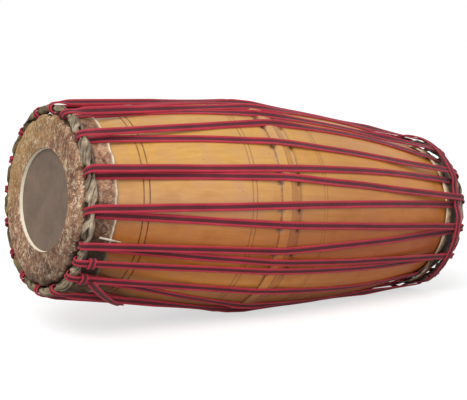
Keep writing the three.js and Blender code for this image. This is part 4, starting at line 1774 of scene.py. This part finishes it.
    def build_rim_strap(self, space: DrumSpace, material: bpy.types.Material) -> None:
        """Builds the strap behind the smaller hoop, over most runs and under a few.

        Args:
            space: where the drum lies.
            material: the tape's finish.
        """
        head = self.valanthalai
        depth = head.hoop_depth - head.hoop_width / 2 - head.hoop_travel - head.fit - self.width / 2
        x = head.along(depth)
        lane, rise = self.on_line(self.line(self.valanthalai, self.thoppi), x)
        step = self.thickness + self.rim_strap_fit
        pitch = 360 / len(self.valanthalai_eyes)
        dipped = [self.valanthalai_eyes[eye] - self.eye_spread for eye in self.dipped_eyes]
        finish = self.rim_strap_start + 360 + self.rim_strap_overlap
        route = Route()
        for angle in np.linspace(self.rim_strap_start, finish, 360):
            level = smoothstep(turn_to_nearest(angle, dipped), pitch * 0.25, pitch * 0.75) * 2 - 1
            lapped = finish - self.rim_strap_overlap
            lap = smoothstep(angle, lapped - self.rim_strap_ramp, lapped - self.rim_strap_ramp / 4)
            r = lane + step * (level + lap)
            face = outwards(float(angle)) - np.array([rise, 0, 0])
            route.add(point_on(x, r, float(angle)), face)
        self.finish_strap("valanthalai_rim_lace", route, self.width, space, material, "valanthalai_rim_strap")

    def build_hitch(
        self, name: str, eye: int, space: DrumSpace, material: bpy.types.Material, node: str
    ) -> None:
        """Builds one turn of the lace wound round an over run.

        Args:
            name: the piece's name.
            eye: the thoppi eye whose over run it is wound round.
            space: where the drum lies.
            material: the tape's finish.
            node: the node that it stands for.
        """
        head = self.thoppi
        x = head.along(head.hoop_depth - head.hoop_width / 2 - head.hoop_travel - self.hitch_from_hoop)
        angles = RunAngles(self.over_at_thoppi[eye], self.over_at_belly[eye], 0.0)
        angle = self.angle_at(angles, x)
        r, rise = self.on_line(self.line(self.thoppi, self.valanthalai), x)
        middle = point_on(x, r, angle)
        ahead = np.array([1.0, 0, 0]) + outwards(angle) * rise
        ahead /= np.linalg.norm(ahead)
        out = outwards(angle) - np.array([rise, 0, 0])
        out /= np.linalg.norm(out)
        side = np.cross(out, ahead)
        half_width = self.width / 2 + head.hoop_fit + self.thickness / 2
        half_height = self.thickness + head.hoop_fit

        def squared(value: float) -> float:
            """Pushes a sine or cosine outwards, so that a round turn gets flat sides."""
            return math.copysign(abs(value) ** self.hitch_squareness, value)

        opening = math.radians(self.hitch_opening)
        route = Route()
        for turn in np.linspace(opening - math.pi / 2, 1.5 * math.pi - opening, 60):
            across = side * half_width * squared(math.cos(turn))
            lift = out * half_height * squared(math.sin(turn))
            face = side * math.cos(turn) + out * math.sin(turn)
            route.add(middle + across + lift, face)
        self.finish_strap(name, route.resampled(1.0, 2), self.hitch_width, space, material, node)

    def build_tail(self, space: DrumSpace, material: bpy.types.Material) -> None:
        """Builds the spare end that lies on the barrel below the hitches.

        Args:
            space: where the drum lies.
            material: the tape's finish.
        """
        route = Route()
        xs = [place[0] for place in self.tail_places]
        for x in np.linspace(xs[0], xs[-1], 40):
            angle = float(np.interp(x, xs, [place[1] for place in self.tail_places]))
            lift = float(np.interp(x, xs, [place[2] for place in self.tail_places]))
            route.add(point_on(float(x), self.barrel.radius(float(x)) + lift, angle), outwards(angle))
        route = route.resampled(2.0, 6)
        piece = self.finish_strap("lace_spare_end", route, self.width, space, material, "lace_tail")

    def build(self, space: DrumSpace, finish: WovenLace) -> None:
        """Builds the whole lace.

        Args:
            space: where the drum lies.
            finish: the tape's finish.
        """
        material = finish.material()
        self.build_runs(space, material)
        self.build_rim_strap(space, material)
        upper, lower = self.hitched_eyes
        self.build_hitch("lace_upper_hitch", upper, space, material, "lace_hitch_upper")
        self.build_hitch("lace_lower_hitch", lower, space, material, "lace_hitch_lower")
        self.build_tail(space, material)


@dataclass
class HideThong:
    """A loose end of hide that sticks out of the larger head's skirt.

    Its places each give a place along the barrel, an angle and a height above the wood.
    """

    head: Head
    start: tuple[float, float, float] = (19.0, 18.6, 5.2)
    bend: tuple[float, float, float] = (33.0, 19.4, 6.2)
    tip: tuple[float, float, float] = (46.0, 20.6, 3.6)
    half_width: float = 1.3
    half_thickness: float = 0.6

    def build(self, space: DrumSpace, finish: ScrapedHide) -> None:
        """Sweeps the thong and dresses it.

        Args:
            space: where the drum lies.
            finish: the hide's finish.
        """
        route = Route()
        for x, angle, lift in (self.start, self.bend, self.tip):
            width = 0.5 if x == self.tip[0] else 1.0
            route.add(point_on(x, self.head.barrel.radius(x) + lift, angle), outwards(angle), width)
        turns = np.linspace(0, 2 * math.pi, 10, endpoint=False)
        section = [(self.half_width * math.cos(t), self.half_thickness * math.sin(t)) for t in turns]
        piece = swept("thoppi_hide_thong", [route.resampled(1.0, 6)], section)
        tag(piece, "cut", lambda x, r, angle: 0.8)
        space.settle(piece)
        dress(piece, finish.material(), 60)
        hand_over(piece, "drum", "ring_hide")


@dataclass
class HideFlap:
    """A stiff fold of a head's hide that stands off its skirt under the lowest runs."""

    head: Head
    # From its root to its hem: how far each lies from the end face, and how high it stands at its full rise.
    reach: Point
    angles: Point
    lift: float
    stand: Point
    rise: Point
    thickness: float = 1.2
    depth_steps: int = 18
    angle_steps: int = 60

    def height(self, along: float, angle: float) -> float:
        """Gives the flap's height above the skirt, which grows round the drum from its lift to its stand.

        Args:
            along: the share of the way from the flap's root to its hem.
            angle: the angle in degrees.

        Returns:
            The height in millimetres.
        """
        start, end = self.angles
        ends = smoothstep(min(angle - start, end - angle), 0.0, 6.0)
        full = blend(*self.stand, along) * smoothstep(along, -0.2, 0.15)
        crumple = 0.5 * ripple(along * 20, angle * 1.6, 0.0, 6.0)
        return (blend(self.lift, full, smoothstep(angle, *self.rise)) + crumple - 0.4) * ends

    def build(self, space: DrumSpace, finish: ScrapedHide) -> None:
        """Bends a grid into the flap and thickens it.

        Args:
            space: where the drum lies.
            finish: the hide's finish.
        """
        deselect()
        bpy.ops.mesh.primitive_grid_add(
            x_subdivisions=self.depth_steps, y_subdivisions=self.angle_steps, size=2.0
        )
        piece = bpy.context.object
        piece.name = piece.data.name = f"{self.head.name}_hide_flap"
        for vertex in piece.data.vertices:
            along = (vertex.co.x + 1) / 2
            angle = blend(*self.angles, (vertex.co.y + 1) / 2)
            ragged = ripple(angle * 2, 5.0, 0.0, 9.0) * 2.5 * smoothstep(along, 0.6, 1.0)
            depth = -blend(*self.reach, along) - ragged
            r = self.head.surface(depth, self.head.skirt_offset) + self.height(along, angle)
            vertex.co = Vector(point_on(self.head.along(depth), r, angle)) * MM
        pick(piece)
        bpy.ops.object.modifier_add(type="SOLIDIFY")
        piece.modifiers[0].thickness = self.thickness * MM
        piece.modifiers[0].offset = 0.0
        bpy.ops.object.modifier_apply(modifier=piece.modifiers[0].name)
        face_outwards(piece)
        hem = self.reach[1]
        tag(piece, "cut", lambda x, r, angle: 0.5 * smoothstep(-self.head.depth_of(x), hem - 3, hem - 1))
        space.settle(piece)
        dress(piece, finish.material(), 50)
        hand_over(piece, "drum", "ring_hide")


@dataclass
class Studio:
    """A pale floor, soft light and the camera that took the picture."""

    camera_place: tuple[float, float, float] = (-0.8650474, -1.2101366, 0.2953153)
    elevation: float = 5.8624711
    azimuth: float = -34.7983185
    focal_pixels: float = 1150.0
    image_width: float = 467.0
    sensor: float = 36.0
    ambient: float = 0.34
    floor_size: float = 60.0
    floor_grey: str = "C0C0C0"
    floor_glow: float = 0.62
    aim: tuple[float, float, float] = (0.0, 0.0, 0.13)

    def add_camera(self) -> None:
        """Adds the camera."""
        data = bpy.data.cameras.new("camera")
        data.sensor_fit = "HORIZONTAL"
        data.sensor_width = self.sensor
        data.lens = self.focal_pixels / self.image_width * self.sensor
        data.clip_start = 0.01
        camera = bpy.data.objects.new("camera", data)
        camera.location = self.camera_place
        camera.rotation_euler = (math.radians(90 - self.elevation), 0, math.radians(self.azimuth))
        bpy.context.collection.objects.link(camera)
        bpy.context.scene.camera = camera

    def add_floor(self) -> None:
        """Adds the pale floor, which looks white and keeps a soft shadow."""
        deselect()
        bpy.ops.mesh.primitive_grid_add(x_subdivisions=4, y_subdivisions=4, size=self.floor_size)
        floor = bpy.context.object
        floor.name = "studio_floor"
        material, add = new_material("paper_backdrop")
        path = add("LightPath")
        diffuse = add("BsdfDiffuse", {"Color": linear(self.floor_grey)})
        seen = add("Math", {0: path.outputs["Is Camera Ray"], 1: self.floor_glow}, operation="MULTIPLY")
        glow = add("Emission", {"Color": linear("FFFFFF"), "Strength": seen})
        both = add("AddShader", {0: diffuse, 1: glow})
        add("OutputMaterial", {"Surface": both})
        floor.data.materials.append(material)

    def add_light(
        self, name: str, kind: str, place: tuple[float, float, float], power: float, **settings: float
    ) -> None:
        """Adds a light that points at the drum.

        Args:
            name: the light's name.
            kind: the light's type.
            place: where it stands.
            power: its power in watts, or in watts for each square metre for a sun.
            **settings: the light's other properties.
        """
        data = bpy.data.lights.new(name, kind)
        data.energy = power
        for key, value in settings.items():
            setattr(data, key, value)
        light = bpy.data.objects.new(name, data)
        light.location = place
        light.rotation_euler = (Vector(self.aim) - Vector(place)).to_track_quat("-Z", "Y").to_euler()
        bpy.context.collection.objects.link(light)

    def add_world(self) -> None:
        """Adds the surrounding light, which looks white to the camera and in reflections."""
        world = bpy.data.worlds.new("studio")
        world.use_nodes = True
        world.node_tree.nodes.clear()
        add = partial(add_node, world.node_tree)
        path = add("LightPath")
        glossy = add(
            "Math",
            {0: path.outputs["Is Glossy Ray"], 1: path.outputs["Is Transmission Ray"]},
            operation="MAXIMUM",
        )
        seen = add("Math", {0: path.outputs["Is Camera Ray"], 1: glossy}, operation="MAXIMUM")
        strength = add("MapRange", {"Value": seen, "To Min": self.ambient})
        back = add("Background", {"Color": linear("FFFFFF"), "Strength": strength})
        add("OutputWorld", {"Surface": back})
        bpy.context.scene.world = world

    def build(self) -> None:
        """Sets up the whole studio."""
        bpy.context.scene.view_settings.view_transform = "Standard"
        self.add_camera()
        self.add_floor()
        self.add_world()
        self.add_light("key", "SUN", (-1.0, -0.75, 1.25), 2.2, angle=math.radians(38))
        self.add_light("fill", "AREA", (0.5, -1.9, 0.7), 5.0, size=1.4)
        self.add_light("back", "AREA", (0.7, 1.9, 1.3), 9.0, size=1.4)
        self.add_light("reflector", "AREA", (-0.2, -1.2, 0.06), 4.5, size=0.8)


def main() -> None:
    """Builds the drum's sub-assemblies in order."""
    logging.basicConfig(level=logging.INFO, format="%(message)s")
    space = DrumSpace.from_record(frame["record"])
    Studio().build()
    barrel = Barrel()
    thoppi = Head(
        HeadEnd.THOPPI,
        barrel,
        opening_radius=61.0,
        skirt_reach=36.0,
        skin_from=0.3,
        over_runs=Lace.over_at_thoppi,
        under_runs=Lace.under_at_thoppi,
        gather=6.0,
        dirt_and_shade_from=-14.0,
        opening_shift=4.0,
        opening_stretch=2.2,
        hoop_bulge=2.8,
        ring_swell=2.5,
        skirt_low_shade=0.2,
        shaded_angles=(23.0, 66.0),
    )
    valanthalai = Head(
        HeadEnd.VALANTHALAI,
        barrel,
        opening_radius=50.0,
        skirt_reach=24.0,
        skin_from=1.8,
        over_runs=tuple(eye - Lace.eye_spread for eye in Lace.valanthalai_eyes),
        under_runs=tuple(eye + Lace.eye_spread for eye in Lace.valanthalai_eyes),
        gather=3.6,
        dirt_and_shade_from=-20.0,
    )
    lace = Lace(barrel, thoppi, valanthalai)
    barrel.notches = lace.belly_edges()
    barrel.build(space, Jackwood())
    brown_hide = ScrapedHide(
        "cowhide_scraped",
        deep="5C3828",
        middle="986B51",
        pale="CC9C78",
        sunlit_gold="E2B068",
        fleck="FFE8C4",
        cut="F4EAD2",
        fleck_share=0.62,
    )
    pale_hide = ScrapedHide(
        "cowhide_limed",
        deep="745238",
        middle="A8825F",
        pale="D2BA98",
        sunlit_gold="C8A878",
        fleck="E0CFB2",
        cut="D8C8AC",
        fleck_share=0.45,
    )
    hides = {HeadEnd.THOPPI: brown_hide, HeadEnd.VALANTHALAI: pale_hide}
    skin = GoatSkin()
    strips = {
        HeadEnd.THOPPI: TwistedHide("rawhide_strips_twisted", "60503E", "94806A", "CAB89C", "2C2219"),
        HeadEnd.VALANTHALAI: TwistedHide("rawhide_strips_stained", "4C3832", "785C54", "A08A80", "2A1E1A"),
    }
    for head in (thoppi, valanthalai):
        head.build_skin(space, skin)
        head.build_ring(space, hides[head.end])
        head.build_hoop(space, strips[head.end])
    TunedPatch(valanthalai).build(space, pale_hide, RubbedPaste())
    HideThong(thoppi).build(space, brown_hide)
    thoppi_flap = HideFlap(
        thoppi, reach=(11.5, 43.0), angles=(54.0, 114.0), lift=3.4, stand=(10.2, 7.6), rise=(68.0, 88.0)
    )
    valanthalai_flap = HideFlap(
        valanthalai, reach=(21.0, 30.0), angles=(40.0, 84.0), lift=3.0, stand=(7.0, 4.0), rise=(42.0, 50.0)
    )
    for flap in (thoppi_flap, valanthalai_flap):
        flap.build(space, brown_hide)
    lace.build(space, WovenLace())


if __name__ == "__main__":
    main()
